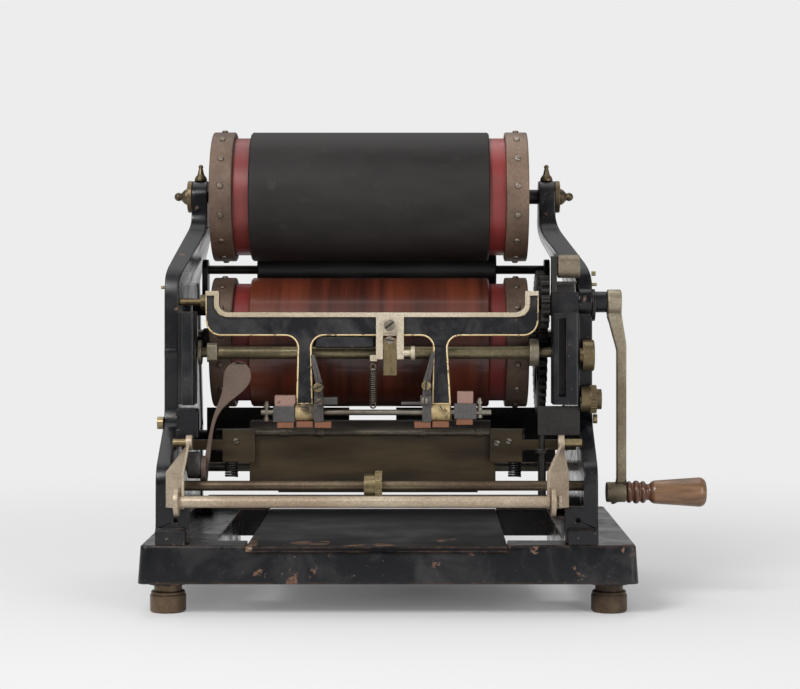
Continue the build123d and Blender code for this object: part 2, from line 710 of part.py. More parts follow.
rim_screw = screw(SCREW_RADIUS, SCREW_HEIGHT, SCREW_SHANK_RADIUS, SCREW_DEPTH)
rim_screw_angles = [RIM_SCREW_PHASE + 360 * n / RIM_SCREWS for n in range(RIM_SCREWS)]


def rim_screw_place(x, axis, angle):
    """Where a rim screw's head stands: angle is measured at the axis, upwards from the front."""
    y = -cos(radians(angle))
    z = sin(radians(angle))
    seat = spot(x, axis[0] + RIM_RADIUS * y, axis[1] + RIM_RADIUS * z)
    return Plane(origin=seat, x_dir=(1, 0, 0), z_dir=(0, y, z))


def drum_rim(side, axis):
    """A rim with its recessed web, hub and lightening holes."""
    inner, outer = side * rim_in, side * rim_out
    web_from = side * (rim_in + 4)
    web_to = side * (rim_in + 4 + RIM_WEB)
    with BuildPart() as rim:
        turn(inner, outer, RIM_RADIUS, axis)
        fillet(rim.edges().filter_by(GeomType.CIRCLE), RIM_ROUND)
        bore(web_to, outer + side, RIM_RADIUS - RIM_WALL, axis)
        bore(inner - side, web_from, RIM_RADIUS - RIM_WALL, axis)
        turn(web_to, outer, RIM_HUB_RADIUS, axis)
        bore(inner - side, outer + side, SHAFT_RADIUS, axis)
        with BuildSketch(on_axis(web_from, axis)) as holes:
            with PolarLocations((RIM_RADIUS - RIM_WALL + RIM_HUB_RADIUS) / 2, RIM_HOLES):
                Circle(RIM_HOLE_RADIUS)
        extrude(holes.sketch, amount=side * RIM_WEB, mode=Mode.SUBTRACT)
        for angle in rim_screw_angles:
            with Locations(rim_screw_place((inner + outer) / 2, axis, angle)):
                Cylinder(SCREW_SHANK_RADIUS, 2 * SCREW_DEPTH, mode=Mode.SUBTRACT)
    return rim


def make_drum(name, axis, shaft_from, shaft_to, collar_to, wheel_radius):
    """A drum: shaft, cylinder, two red bands, two rims and their screws."""
    with BuildPart() as shaft:
        turn(shaft_from, shaft_to, SHAFT_RADIUS, axis)
        turn(rim_out, collar_to, SHAFT_COLLAR_RADIUS, axis)
        if wheel_radius > SHAFT_COLLAR_RADIUS:
            wheel_from = -rim_out - WHEEL_GAP
            turn(wheel_from - WHEEL_WIDTH, wheel_from, wheel_radius, axis)
            chamfer(shaft.edges().filter_by(GeomType.CIRCLE).sort_by(SortBy.RADIUS)[-2:], 1)
    keep(shaft, f"{name}_drum_shaft")

    with BuildPart() as cylinder:
        turn(-cylinder_end, cylinder_end, DRUM_RADIUS, axis)
        chamfer(cylinder.edges().filter_by(GeomType.CIRCLE), DRUM_CHAMFER)
        bore(-cylinder_end - 1, cylinder_end + 1, DRUM_RADIUS - DRUM_WALL, axis)
    keep(cylinder, f"{name}_drum_cylinder")

    with BuildPart() as bands:
        for side in (-1, 1):
            turn(side * cylinder_end, side * rim_in, BAND_RADIUS, axis)
            turn(side * (cylinder_end - BAND_WALL), side * cylinder_end, DRUM_RADIUS - DRUM_WALL, axis)
            bore(side * (cylinder_end - BAND_WALL - 1), side * (rim_in + 1), BAND_RADIUS - BAND_WALL, axis)
    keep(bands, f"{name}_drum_bands")

    keep(drum_rim(-1, axis), f"{name}_left_rim")
    keep(drum_rim(1, axis), f"{name}_right_rim")

    with BuildPart() as rim_screws:
        for side in (-1, 1):
            for angle in rim_screw_angles:
                with Locations(rim_screw_place(side * (rim_in + rim_out) / 2, axis, angle)):
                    add(rim_screw)
    keep(rim_screws, f"{name}_rim_screws")


make_drum("upper", UPPER, -left_post_out, right_post_out, right_post_in - CLEAR, 0)
make_drum("lower", LOWER, -left_out, right_out, gear_x, WHEEL_RADIUS)


def gear(teeth, pitch_radius, x, axis, first_tooth):
    """A spur gear across X whose first tooth points at an angle from +Y towards +Z."""
    pitch_step = 2 * pi * pitch_radius / teeth
    root = pitch_radius - DEDENDUM * gear_module
    tip = pitch_radius + ADDENDUM * gear_module
    with BuildSketch(on_axis(x, axis)) as profile:
        Circle(root)
        with PolarLocations(0, teeth, start_angle=degrees(first_tooth)):
            Polygon(
                (root - 1, -TOOTH_ROOT_SHARE * pitch_step), (pitch_radius, -TOOTH_PITCH_SHARE * pitch_step),
                (tip, -TOOTH_TIP_SHARE * pitch_step), (tip, TOOTH_TIP_SHARE * pitch_step),
                (pitch_radius, TOOTH_PITCH_SHARE * pitch_step), (root - 1, TOOTH_ROOT_SHARE * pitch_step),
                align=None,
            )
    extrude(profile.sketch, amount=GEAR_WIDTH)


drum_pitch_radius = gear_module * DRUM_TEETH / 2
pinion_pitch_radius = gear_module * PINION_TEETH / 2
mesh_angle = atan2(CRANK_Z - LOWER_AXIS_Z, CRANK_Y)
GEAR_HUB_RADIUS = 16.0
GEAR_HOLE_RADIUS = 15.0
GEAR_HOLES = 5

with BuildPart() as drum_gear:
    gear(DRUM_TEETH, drum_pitch_radius, gear_x, LOWER, mesh_angle)
    with BuildSketch(on_axis(gear_x, LOWER)) as gear_holes:
        with PolarLocations((drum_pitch_radius + GEAR_HUB_RADIUS) / 2 - 2, GEAR_HOLES):
            Circle(GEAR_HOLE_RADIUS)
    extrude(gear_holes.sketch, amount=GEAR_WIDTH, mode=Mode.SUBTRACT)
    turn(gear_x, gear_x + GEAR_WIDTH + 4, GEAR_HUB_RADIUS, LOWER)
    bore(gear_x - 1, gear_x + GEAR_WIDTH + 5, SHAFT_RADIUS, LOWER)
keep(drum_gear, "drum_gear")

# ink roller, its shaft and the brackets that carry it on the side frames
ink_arm_left = -left_in + 10
ink_arm_right = right_in - 26
with BuildPart() as ink_roller:
    turn(ink_left, ink_right, INK_RADIUS, INK)
    chamfer(ink_roller.edges().filter_by(GeomType.CIRCLE), 1.0)
    bore(ink_left - 1, ink_right + 1, INK_SHAFT_RADIUS, INK)
keep(ink_roller, "ink_roller")

with BuildPart() as ink_roller_shaft:
    turn(ink_arm_left, ink_arm_right + INK_BRACKET_THICKNESS, INK_SHAFT_RADIUS, INK)
keep(ink_roller_shaft, "ink_roller_shaft")

INK_BRACKET_FOOT_Z = 284.0
with BuildPart() as ink_roller_brackets:
    for arm_x, wall_x in ((ink_arm_left, -left_in), (ink_arm_right, right_in)):
        block(arm_x, arm_x + INK_BRACKET_THICKNESS, ink_y - INK_BRACKET_DEPTH / 2,
              ink_y + INK_BRACKET_DEPTH / 2,
              INK_BRACKET_FOOT_Z, ink_z)
        block(min(arm_x, wall_x), max(arm_x, wall_x), ink_y - INK_BRACKET_DEPTH / 2,
              ink_y + INK_BRACKET_DEPTH / 2,
              INK_BRACKET_FOOT_Z, INK_BRACKET_FOOT_Z + 18)
        turn(arm_x, arm_x + INK_BRACKET_THICKNESS, INK_BRACKET_DEPTH / 2, INK)
        bore(arm_x - 1, arm_x + INK_BRACKET_THICKNESS + 1, INK_SHAFT_RADIUS + RUNNING, INK)
keep(ink_roller_brackets, "ink_roller_brackets")

# crank: shaft, pinion, outer bearing sleeve, arm, spindle and wooden grip
handle_z = CRANK_Z - CRANK_THROW
HANDLE = (CRANK_Y, handle_z)

with BuildPart() as crank_shaft:
    turn(lug_right - CLEAR, arm_to, SHAFT_RADIUS, CRANK)
keep(crank_shaft, "crank_shaft")

with BuildPart() as crank_pinion:
    gear(PINION_TEETH, pinion_pitch_radius, gear_x, CRANK, mesh_angle + pi + pi / PINION_TEETH)
    turn(carriage_right + CLEAR, gear_x, STUD_RING_RADIUS, CRANK)
    bore(carriage_right - 1, gear_x + GEAR_WIDTH + 1, SHAFT_RADIUS, CRANK)
keep(crank_pinion, "crank_pinion")

with BuildPart() as crank_bearing:
    turn(right_out, sleeve_end, SLEEVE_RADIUS, CRANK)
    turn(right_out, right_out + SLEEVE_FLANGE, SLEEVE_FLANGE_RADIUS,
         (CRANK_Y, CRANK_Z - SLEEVE_FLANGE_DROP))
    fillet(crank_bearing.edges().filter_by(GeomType.CIRCLE).sort_by(Axis.X)[-1], 1.2)
    bore(right_out - 1, sleeve_end + 1, SHAFT_RADIUS + RUNNING, CRANK)
keep(crank_bearing, "crank_bearing")

with BuildPart() as crank_arm:
    with BuildSketch(facing(CRANK_Y + ARM_DEPTH / 2)) as arm_shape:
        with BuildLine():
            FilletPolyline(
                (arm_from, CRANK_Z + ARM_HEAD_RADIUS - 3),
                (arm_to, CRANK_Z + ARM_HEAD_RADIUS - 3),
                (arm_to, CRANK_Z - ARM_HEAD_RADIUS + 2),
                (arm_out, CRANK_Z - ARM_HEAD_RADIUS - 30),
                (arm_out, handle_z + ARM_BOSS_RADIUS - 1),
                (arm_out - ARM_THICKNESS, handle_z + ARM_BOSS_RADIUS - 1),
                (arm_out - ARM_THICKNESS, CRANK_Z - ARM_HEAD_RADIUS - 36),
                (arm_from, CRANK_Z - ARM_HEAD_RADIUS),
                radius=(1, 1, 12, 24, 1, 1, 24, 12),
                close=True,
            )
        make_face()
    extrude(arm_shape.sketch, amount=ARM_DEPTH)
    turn(arm_from, arm_to, ARM_HEAD_RADIUS, CRANK)
    turn(arm_out - ARM_BOSS_WIDTH, arm_out, ARM_BOSS_RADIUS, HANDLE)
    bore(arm_from - 1, arm_to + 1, SHAFT_RADIUS, CRANK)
    bore(arm_out - ARM_BOSS_WIDTH - 1, arm_out + 1, SPINDLE_RADIUS, HANDLE)
    upright(arm_out - ARM_BOSS_WIDTH / 2 - 3, CRANK_Y, handle_z - ARM_BOSS_RADIUS - 2,
            handle_z - SPINDLE_RADIUS - 1, 1.6)
keep(crank_arm, "crank_arm")

GRIP_CAP = 5.0
with BuildPart() as grip_spindle:
    turn(arm_out - ARM_BOSS_WIDTH, grip_to - GRIP_CAP, SPINDLE_RADIUS, HANDLE)
keep(grip_spindle, "grip_spindle")

with BuildPart() as crank_grip:
    with BuildSketch(Plane(origin=spot(grip_from, *HANDLE), x_dir=(1, 0, 0), z_dir=(0, -1, 0))) as half:
        with BuildLine():
            Line((0, 0), (0, 8.6))
            ThreePointArc((0, 8.6), (2.6, 10.9), (5.2, 9.0))
            Line((5.2, 9.0), (6.4, 9.0))
            ThreePointArc((6.4, 9.0), (9.6, 11.6), (12.8, 9.4))
            Line((12.8, 9.4), (14.0, 9.4))
            ThreePointArc((14.0, 9.4), (16.6, 11.0), (19.2, 8.6))
            ThreePointArc((19.2, 8.6), (21.2, 8.0), (23.4, 8.7))
            ThreePointArc((23.4, 8.7), (25.4, 10.6), (28.0, 11.6))
            Line((28.0, 11.6), (GRIP_LENGTH - 8, GRIP_RADIUS - 0.2))
            ThreePointArc((GRIP_LENGTH - 8, GRIP_RADIUS - 0.2), (GRIP_LENGTH - 2, GRIP_RADIUS - 2.2),
                          (GRIP_LENGTH, 8))
            Polyline((GRIP_LENGTH, 8), (GRIP_LENGTH, 0), (0, 0))
        make_face()
    revolve(half.sketch, axis=Axis(spot(grip_from, *HANDLE), (1, 0, 0)))
    bore(grip_from - 1, grip_to - GRIP_CAP + CLEAR, SPINDLE_RADIUS + RUNNING, HANDLE)
keep(crank_grip, "crank_grip")

# feed rock shaft across the machine, with a clamp and a cam on the left and a hub on the right
with BuildPart() as feed_shaft:
    turn(feed_tube_left, feed_tube_right, FEED_TUBE_RADIUS, FEED)
    turn(-left_in - FRAME_WALL + 1, right_out - 1, FEED_END_RADIUS, FEED)
keep(feed_shaft, "feed_shaft")

with BuildPart() as feed_shaft_fittings:
    clamp_to = feed_tube_left
    clamp_from = clamp_to - CLAMP_WIDTH
    block(clamp_from, clamp_to, FEED_Y - CLAMP_SIZE / 2, FEED_Y + CLAMP_SIZE / 2,
          FEED_Z - CLAMP_SIZE / 2, FEED_Z + CLAMP_SIZE / 2)
    chamfer(feed_shaft_fittings.edges().filter_by(Axis.X), 2.5)
    turn(clamp_from - 6 - CAM_WIDTH, clamp_from - 6, CAM_RADIUS, FEED)
    turn(feed_tube_right, feed_tube_right + FEED_HUB_WIDTH - 1, FEED_HUB_RADIUS, FEED)
    bore(clamp_from - 20, feed_tube_right + FEED_HUB_WIDTH + 1, FEED_END_RADIUS, FEED)
keep(feed_shaft_fittings, "feed_shaft_fittings")

# feed carriage: a casting with two ears and two legs, flanged along its top edge
carriage_back = CARRIAGE_FRONT + CARRIAGE_THICKNESS
leg_bottom = ROD_Z - LEG_BOSS_RADIUS
inner_left = carriage_left + EAR_WIDTH
inner_right = carriage_right - EAR_WIDTH
left_leg = (left_leg_x - LEG_WIDTH / 2, left_leg_x + LEG_WIDTH / 2)
right_leg = (right_leg_x - LEG_WIDTH / 2, right_leg_x + LEG_WIDTH / 2)
ROD = (rod_y, ROD_Z)
with BuildPart() as feed_carriage:
    with BuildSketch(facing(carriage_back)) as casting_shape:
        with BuildLine():
            FilletPolyline(
                (carriage_left, EAR_TOP_Z), (inner_left, EAR_TOP_Z), (inner_left, BEAM_TOP_Z),
                (inner_right, BEAM_TOP_Z), (inner_right, EAR_TOP_Z), (carriage_right, EAR_TOP_Z),
                (carriage_right, BEAM_BOTTOM_Z), (right_leg[1], BEAM_BOTTOM_Z),
                (right_leg[1] + LEG_FLARE, leg_bottom),
                (right_leg[0] - 2, leg_bottom), (right_leg[0], BEAM_BOTTOM_Z), (left_leg[1], BEAM_BOTTOM_Z),
                (left_leg[1] + 2, leg_bottom), (left_leg[0] - 2, leg_bottom), (left_leg[0], BEAM_BOTTOM_Z),
                (carriage_left, BEAM_BOTTOM_Z),
                radius=(1, 1, EAR_ROUND, EAR_ROUND, 1, 1, BEAM_ROUND, ARCH_ROUND, 1, 1, ARCH_ROUND,
                        ARCH_ROUND,
                        1, 1, ARCH_ROUND, BEAM_ROUND),
                close=True,
            )
        make_face()
    extrude(casting_shape.sketch, amount=CARRIAGE_THICKNESS)
    chamfer(feed_carriage.faces().sort_by(Axis.Y)[0].edges(), 0.8)
    with BuildSketch(facing(CARRIAGE_FRONT + FLANGE_DEPTH - 3)) as flange_shape:
        with BuildLine():
            FilletPolyline(
                (carriage_left, EAR_TOP_Z), (inner_left, EAR_TOP_Z), (inner_left, BEAM_TOP_Z),
                (inner_right, BEAM_TOP_Z), (inner_right, EAR_TOP_Z), (carriage_right, EAR_TOP_Z),
                radius=(1, EAR_ROUND, EAR_ROUND, 1),
            )
            low = FLANGE_THICKNESS
            Line((carriage_right, EAR_TOP_Z), (carriage_right, EAR_TOP_Z - low))
            FilletPolyline(
                (carriage_right, EAR_TOP_Z - low), (inner_right + low, EAR_TOP_Z - low),
                (inner_right + low, BEAM_TOP_Z - low), (inner_left - low, BEAM_TOP_Z - low),
                (inner_left - low, EAR_TOP_Z - low), (carriage_left, EAR_TOP_Z - low),
                radius=(1, EAR_ROUND + low, EAR_ROUND + low, 1),
            )
            Line((carriage_left, EAR_TOP_Z - low), (carriage_left, EAR_TOP_Z))
        make_face()
    extrude(flange_shape.sketch, amount=FLANGE_DEPTH)
    for lug_from, lug_to, hole in (
        (carriage_left, carriage_left + LUG_WIDTH, STUD_RADIUS),
        (lug_right, carriage_right, SHAFT_RADIUS),
    ):
        block(lug_from, lug_to, CARRIAGE_FRONT, CRANK_Y, CRANK_Z - LUG_RADIUS, CRANK_Z + LUG_RADIUS)
        turn(lug_from, lug_to, LUG_RADIUS, CRANK)
        bore(lug_from - 1, lug_to + 1, hole + RUNNING, CRANK)
    for leg in (left_leg, right_leg):
        turn(leg[0] - 2, leg[0] - 2 + LEG_BOSS_WIDTH, LEG_BOSS_RADIUS, ROD)
        bore(leg[0] - 10, leg[1] + 10, ROD_RADIUS, ROD)
keep(feed_carriage, "feed_carriage")

# bright forked bracket on the middle of the carriage, with its brass slider and a small spool knob
FORK_BACKING = 3.0
SLIDER_HALF = 6.5
SLIDER_BELOW = 16.0
SLIDER_TOP_GAP = 2.0
SLIDER_SETBACK = 1.5
TIE_LOW = 12.0
TIE_HIGH = 4.0
SPOOL_RISE = 6.0
SPOOL_STEM = 8.0
SPOOL_STEM_RADIUS = 3.5
SPOOL_WIDTH = 4.0
HOOK_OVER = 3.0
fork_front = CARRIAGE_FRONT - FORK_THICKNESS
fork_right = FORK_LEFT + FORK_WIDTH
slider_x = (FORK_LEFT + fork_right) / 2
spool_axis = (CARRIAGE_FRONT - FORK_BACKING + 1, FORK_BOTTOM_Z + SPOOL_RISE)
spool_from = fork_right + SPOOL_STEM - 1
with BuildPart() as centre_bracket:
    block(FORK_LEFT, fork_right, fork_front, CARRIAGE_FRONT - FORK_BACKING, FORK_BOTTOM_Z, FORK_TOP_Z)
    block(FORK_LEFT + FORK_TINE, fork_right - FORK_TINE, fork_front - 1, CARRIAGE_FRONT,
          FORK_BOTTOM_Z - 1, BEAM_BOTTOM_Z + FORK_BACKING, Mode.SUBTRACT)
    block(FORK_LEFT, fork_right, CARRIAGE_FRONT - FORK_BACKING, CARRIAGE_FRONT, BEAM_BOTTOM_Z,
          BEAM_TOP_Z - FLANGE_THICKNESS)
    block(slider_x - SLIDER_HALF, slider_x + SLIDER_HALF, fork_front + SLIDER_SETBACK, CARRIAGE_FRONT + 2,
          FORK_BOTTOM_Z - SLIDER_BELOW, BEAM_BOTTOM_Z - SLIDER_TOP_GAP)
    block(FORK_LEFT + FORK_TINE, fork_right - FORK_TINE, fork_front + SLIDER_SETBACK, CARRIAGE_FRONT - 1,
          BEAM_BOTTOM_Z - TIE_LOW, BEAM_BOTTOM_Z - TIE_HIGH)
    turn(fork_right - 2, fork_right + SPOOL_STEM, SPOOL_STEM_RADIUS, spool_axis)
    turn(spool_from, spool_from + SPOOL_WIDTH, KNOB_ON_FORK_RADIUS, spool_axis)
    block(SPRING_X - HOOK_OVER, FORK_LEFT + 1, CARRIAGE_FRONT - FORK_BACKING - 1,
          CARRIAGE_FRONT - FORK_BACKING + 1, FORK_BOTTOM_Z - 2, FORK_BOTTOM_Z + HOOK_OVER + 1)
keep(centre_bracket, "centre_bracket")


def coil(x, y, z_from, z_to, radius, turns):
    """A coil spring standing on a vertical line, as a turned solid with one ridge for each turn of wire."""
    step = (z_to - z_from) / turns
    depth = radius * 0.3
    with BuildSketch(Plane(origin=spot(x, y, z_from), x_dir=(1, 0, 0), z_dir=(0, -1, 0))) as half:
        with BuildLine():
            ridge = [(radius - depth, 0)]
            for n in range(turns):
                ridge.append((radius, (n + 0.3) * step))
                ridge.append((radius, (n + 0.7) * step))
                ridge.append((radius - depth, (n + 1) * step))
            Polyline((0, 0), *ridge, (0, turns * step), close=True)
        make_face()
    revolve(half.sketch, axis=Axis(spot(x, y, z_from), (0, 0, 1)))


# tension spring between the bracket and the feed rod, closely wound
with BuildPart() as carriage_spring:
    spring_bottom = ROD_Z + ROD_RADIUS + 2
    coil(SPRING_X, CARRIAGE_FRONT - 3, spring_bottom + 4, SPRING_TOP_Z - 6, SPRING_RADIUS, SPRING_TURNS)
    upright(SPRING_X, CARRIAGE_FRONT - 3, SPRING_TOP_Z - 6, FORK_BOTTOM_Z - 2, SPRING_WIRE)
    upright(SPRING_X, CARRIAGE_FRONT - 3, spring_bottom - 2, spring_bottom + 4, SPRING_WIRE)
keep(carriage_spring, "carriage_spring")

# feed rod through the feet of the two legs
with BuildPart() as feed_rod:
    turn(rod_left, rod_right, ROD_RADIUS, ROD)
keep(feed_rod, "feed_rod")

# clamps, finger arms and plates on the feed rod
left_boss_left = left_leg[0] - 2
left_boss_right = left_boss_left + LEG_BOSS_WIDTH
right_boss_left = right_leg[0] - 2
right_boss_right = right_boss_left + LEG_BOSS_WIDTH
CLAMP_FRONT = 8.0
CLAMP_BACK = 9.0
CLAMP_BELOW = 9.0
CLAMP_ABOVE = 6.5
CLAMP_WIDTH = 21.5
CLAMP_GAP = 0.5
RIGHT_CLAMP_GAP = 4.0
RIGHT_CLAMP_WIDTH = 22.0
RIGHT_CLAMP_RAISE = 3.0
INNER_BLOCK_WIDTH = 9.0
INNER_BLOCK_ABOVE = 8.0
LEFT_PLATE_WIDTH = 23.0
LEFT_PLATE_HEIGHT = 7.0
RIGHT_PLATE_WIDTH = 11.0
RIGHT_PLATE_HEIGHT = 9.0
TAIL_WIDTH = 21.0
TAIL_THICKNESS = 2.5
PLATE_SETBACK = 2.0
TAIL_SETBACK = 4.0
FINGER_INSET = 4.5
FINGER_HALF = 3.5
FINGER_TIP_HALF = 2.0
FINGER_WAIST = 15.0
FINGER_HEIGHT = 42.0
FINGER_LEAN = 6.3
FINGER_THICKNESS = 4.0
FINGER_BOSS_HEIGHT = 10.0
FINGER_BOSS_RADIUS = 5.2
FINGER_BOSS_DEPTH = 3.5
finger_front = rod_y - CLAMP_FRONT
finger_back = rod_y + CLAMP_BACK
clamp_bottom = ROD_Z - CLAMP_BELOW
left_clamp_right = left_boss_left - CLAMP_GAP
right_clamp_left = right_boss_right + RIGHT_CLAMP_GAP
inner_top = ROD_Z + INNER_BLOCK_ABOVE
left_plate_top = inner_top + LEFT_PLATE_HEIGHT
right_plate_top = inner_top + RIGHT_PLATE_HEIGHT
inner_left = right_boss_left - INNER_BLOCK_WIDTH
with BuildPart() as feed_blocks:
    # outer clamps that carry the rubber blocks
    block(left_clamp_right - CLAMP_WIDTH, left_clamp_right, finger_front, finger_back, clamp_bottom,
          ROD_Z + CLAMP_ABOVE)
    block(right_clamp_left, right_clamp_left + RIGHT_CLAMP_WIDTH, finger_front, finger_back,
          clamp_bottom + RIGHT_CLAMP_RAISE, ROD_Z + CLAMP_BELOW)
    # inner blocks with their plates
    block(left_boss_right, left_boss_right + INNER_BLOCK_WIDTH, finger_front, finger_back, clamp_bottom,
          inner_top)
    block(left_boss_right, left_boss_right + LEFT_PLATE_WIDTH, finger_front + PLATE_SETBACK, finger_back,
          inner_top, left_plate_top)
    block(inner_left, right_boss_left, finger_front, finger_back, clamp_bottom, inner_top)
    block(right_boss_left - RIGHT_PLATE_WIDTH, right_boss_left, finger_front - PLATE_SETBACK / 2, finger_back,
          inner_top, right_plate_top)
    block(inner_left - TAIL_WIDTH, inner_left, finger_front + TAIL_SETBACK, finger_back, inner_top,
          inner_top + TAIL_THICKNESS)
    # leaning finger arms with a screw boss
    for arm_x, lean, foot_z in (
        (left_boss_right + FINGER_INSET, -FINGER_LEAN, left_plate_top),
        (right_boss_left - FINGER_INSET, FINGER_LEAN, right_plate_top),
    ):
        tip_x = arm_x + lean
        waist_z = foot_z + FINGER_WAIST
        tip_z = foot_z + FINGER_HEIGHT
        with BuildSketch(facing(rod_y + FINGER_THICKNESS / 4)) as lean_arm:
            with BuildLine():
                Polyline((arm_x - FINGER_INSET, foot_z), (arm_x + FINGER_INSET, foot_z),
                         (arm_x + FINGER_HALF, waist_z), (tip_x + FINGER_TIP_HALF, tip_z),
                         (tip_x - FINGER_TIP_HALF, tip_z), (arm_x - FINGER_HALF, waist_z), close=True)
            make_face()
        extrude(lean_arm.sketch, amount=FINGER_THICKNESS)
        with BuildSketch(facing(rod_y - 3 * FINGER_THICKNESS / 4)) as lean_boss:
            with Locations((arm_x, foot_z + FINGER_BOSS_HEIGHT)):
                Circle(FINGER_BOSS_RADIUS)
        extrude(lean_boss.sketch, amount=FINGER_BOSS_DEPTH)
    bore(rod_left - 1, rod_right + 1, ROD_RADIUS, ROD)
keep(feed_blocks, "feed_blocks")

# rubber tops and the orange rubber pads that grip the paper
RUBBER_HALF = 6.0
RUBBER_INSET = 1.5
LEFT_RUBBER_TOP = 17.0
RIGHT_RUBBER_TOP = 12.0
RIGHT_RUBBER_SIDE = 3.0
PAD_FRONT = 7.0
PAD_BACK = 8.0
PAD_WIDTH = 16.5
PAD_INSET = 1.0
rubber_left = left_clamp_right - CLAMP_WIDTH + RUBBER_INSET
rubber_step_z = ROD_Z + LEG_BOSS_RADIUS
right_rubber_left = right_clamp_left + RIGHT_RUBBER_SIDE
right_rubber_right = right_clamp_left + RIGHT_CLAMP_WIDTH - RIGHT_RUBBER_SIDE
right_clamp_top = ROD_Z + CLAMP_BELOW
with BuildPart() as feed_rubbers:
    block(rubber_left, left_boss_left, rod_y - RUBBER_HALF, rod_y + RUBBER_HALF, rubber_step_z,
          ROD_Z + LEFT_RUBBER_TOP)
    block(rubber_left, left_clamp_right - CLAMP_GAP, rod_y - RUBBER_HALF, rod_y + RUBBER_HALF,
          ROD_Z + CLAMP_ABOVE, rubber_step_z)
    block(right_rubber_left, right_rubber_right, rod_y - RUBBER_HALF, rod_y + RUBBER_HALF, right_clamp_top,
          right_clamp_top + RIGHT_RUBBER_TOP)
    for pad_from, pad_to, pad_top in (
        (left_clamp_right - PAD_INSET - PAD_WIDTH, left_clamp_right - PAD_INSET, clamp_bottom),
        (left_boss_left + PAD_INSET, left_boss_right - PAD_INSET, ROD_Z - LEG_BOSS_RADIUS),
        (left_boss_right + CLAMP_GAP, left_boss_right + CLAMP_GAP + PAD_WIDTH, clamp_bottom),
        (right_boss_left - CLAMP_GAP - PAD_WIDTH, right_boss_left - CLAMP_GAP, clamp_bottom),
        (right_boss_left + PAD_INSET, right_boss_right - PAD_INSET, ROD_Z - LEG_BOSS_RADIUS),
        (right_clamp_left + 2 * PAD_INSET, right_clamp_left + 2 * PAD_INSET + PAD_WIDTH,
         clamp_bottom + RIGHT_CLAMP_RAISE),
    ):
        block(pad_from, pad_to, rod_y - PAD_FRONT, rod_y + PAD_BACK, pad_top - PAD_THICKNESS, pad_top)
keep(feed_rubbers, "feed_rubbers")

# paper guide plate below the feed, with a rail along its top, corner brackets and two springs
skirt_z = GUIDE_BOTTOM_Z - GUIDE_SKIRT_DROP
with BuildPart() as guide_plate:
    with BuildSketch(facing(GUIDE_Y)) as guide_shape:
        with BuildLine():
            Polyline(
                (guide_left, GUIDE_TOP_Z), (guide_right, GUIDE_TOP_Z), (guide_right, GUIDE_STEP_Z),
                (guide_right - GUIDE_SHOULDER, GUIDE_STEP_Z),
                (guide_right - GUIDE_SHOULDER, GUIDE_BOTTOM_Z),
                (guide_right - GUIDE_SKIRT_RIGHT, GUIDE_BOTTOM_Z), (guide_right - GUIDE_SKIRT_RIGHT, skirt_z),
                (guide_left + GUIDE_SKIRT_LEFT, skirt_z), (guide_left + GUIDE_SKIRT_LEFT, GUIDE_BOTTOM_Z),
                (guide_left + GUIDE_SHOULDER, GUIDE_BOTTOM_Z), (guide_left + GUIDE_SHOULDER, GUIDE_STEP_Z),
                (guide_left, GUIDE_STEP_Z), close=True,
            )
        make_face()
    extrude(guide_shape.sketch, amount=GUIDE_THICKNESS)
keep(guide_plate, "guide_plate")

guide_front = GUIDE_Y - GUIDE_THICKNESS
RAIL = (guide_front - GUIDE_RAIL_RADIUS, GUIDE_TOP_Z - GUIDE_RAIL_RADIUS)
rail_left = guide_left + GUIDE_BRACKET_WIDTH
rail_right = guide_right - GUIDE_BRACKET_WIDTH
CLIP_WIDTH = 7.0
CLIP_THICKNESS = 1.1
CLIPS_FROM_LEFT = (26.0, 62.0)
CLIPS_FROM_RIGHT = (70.0, 14.0)
clip_places = [rail_left + inset for inset in CLIPS_FROM_LEFT]
clip_places += [rail_right - inset for inset in CLIPS_FROM_RIGHT]
with BuildPart() as guide_rail:
    turn(rail_left, rail_right, GUIDE_RAIL_RADIUS, RAIL)
    for clip_x in clip_places:
        turn(clip_x, clip_x + CLIP_WIDTH, GUIDE_RAIL_RADIUS + CLIP_THICKNESS,
             (RAIL[0] - CLIP_THICKNESS, RAIL[1]))
keep(guide_rail, "guide_rail")

guide_span = (-left_in, right_in)
GUIDE_BRACKET_DEPTH = 8.0
GUIDE_EAR_LOW = 12.0
GUIDE_EAR_HIGH = 22.0
bracket_face = guide_front - GUIDE_BRACKET_DEPTH
with BuildPart() as guide_brackets:
    for bracket_from, bracket_to, wall_x in (
        (guide_left, rail_left, guide_span[0]),
        (rail_right, guide_right, guide_span[1]),
    ):
        block(bracket_from, bracket_to, bracket_face, guide_front, GUIDE_STEP_Z, GUIDE_TOP_Z)
        outer_edge = bracket_from if wall_x < 0 else bracket_to
        block(min(outer_edge, wall_x), max(outer_edge, wall_x), bracket_face, guide_front,
              GUIDE_STEP_Z + GUIDE_EAR_LOW, GUIDE_STEP_Z + GUIDE_EAR_HIGH)
keep(guide_brackets, "guide_brackets")

GUIDE_SPRING_LEFT = 9.0
GUIDE_SPRING_RIGHT = 8.0
GUIDE_SPRING_LIFT = 6.0
spring_y = guide_front - GUIDE_BRACKET_DEPTH / 2
with BuildPart() as guide_springs:
    for spring_x in (guide_left + GUIDE_SPRING_LEFT, guide_right - GUIDE_SPRING_RIGHT):
        coil(spring_x, spring_y, GUIDE_BOTTOM_Z + GUIDE_SPRING_LIFT, GUIDE_STEP_Z, GUIDE_SPRING_RADIUS,
             GUIDE_SPRING_TURNS)
keep(guide_springs, "guide_springs")

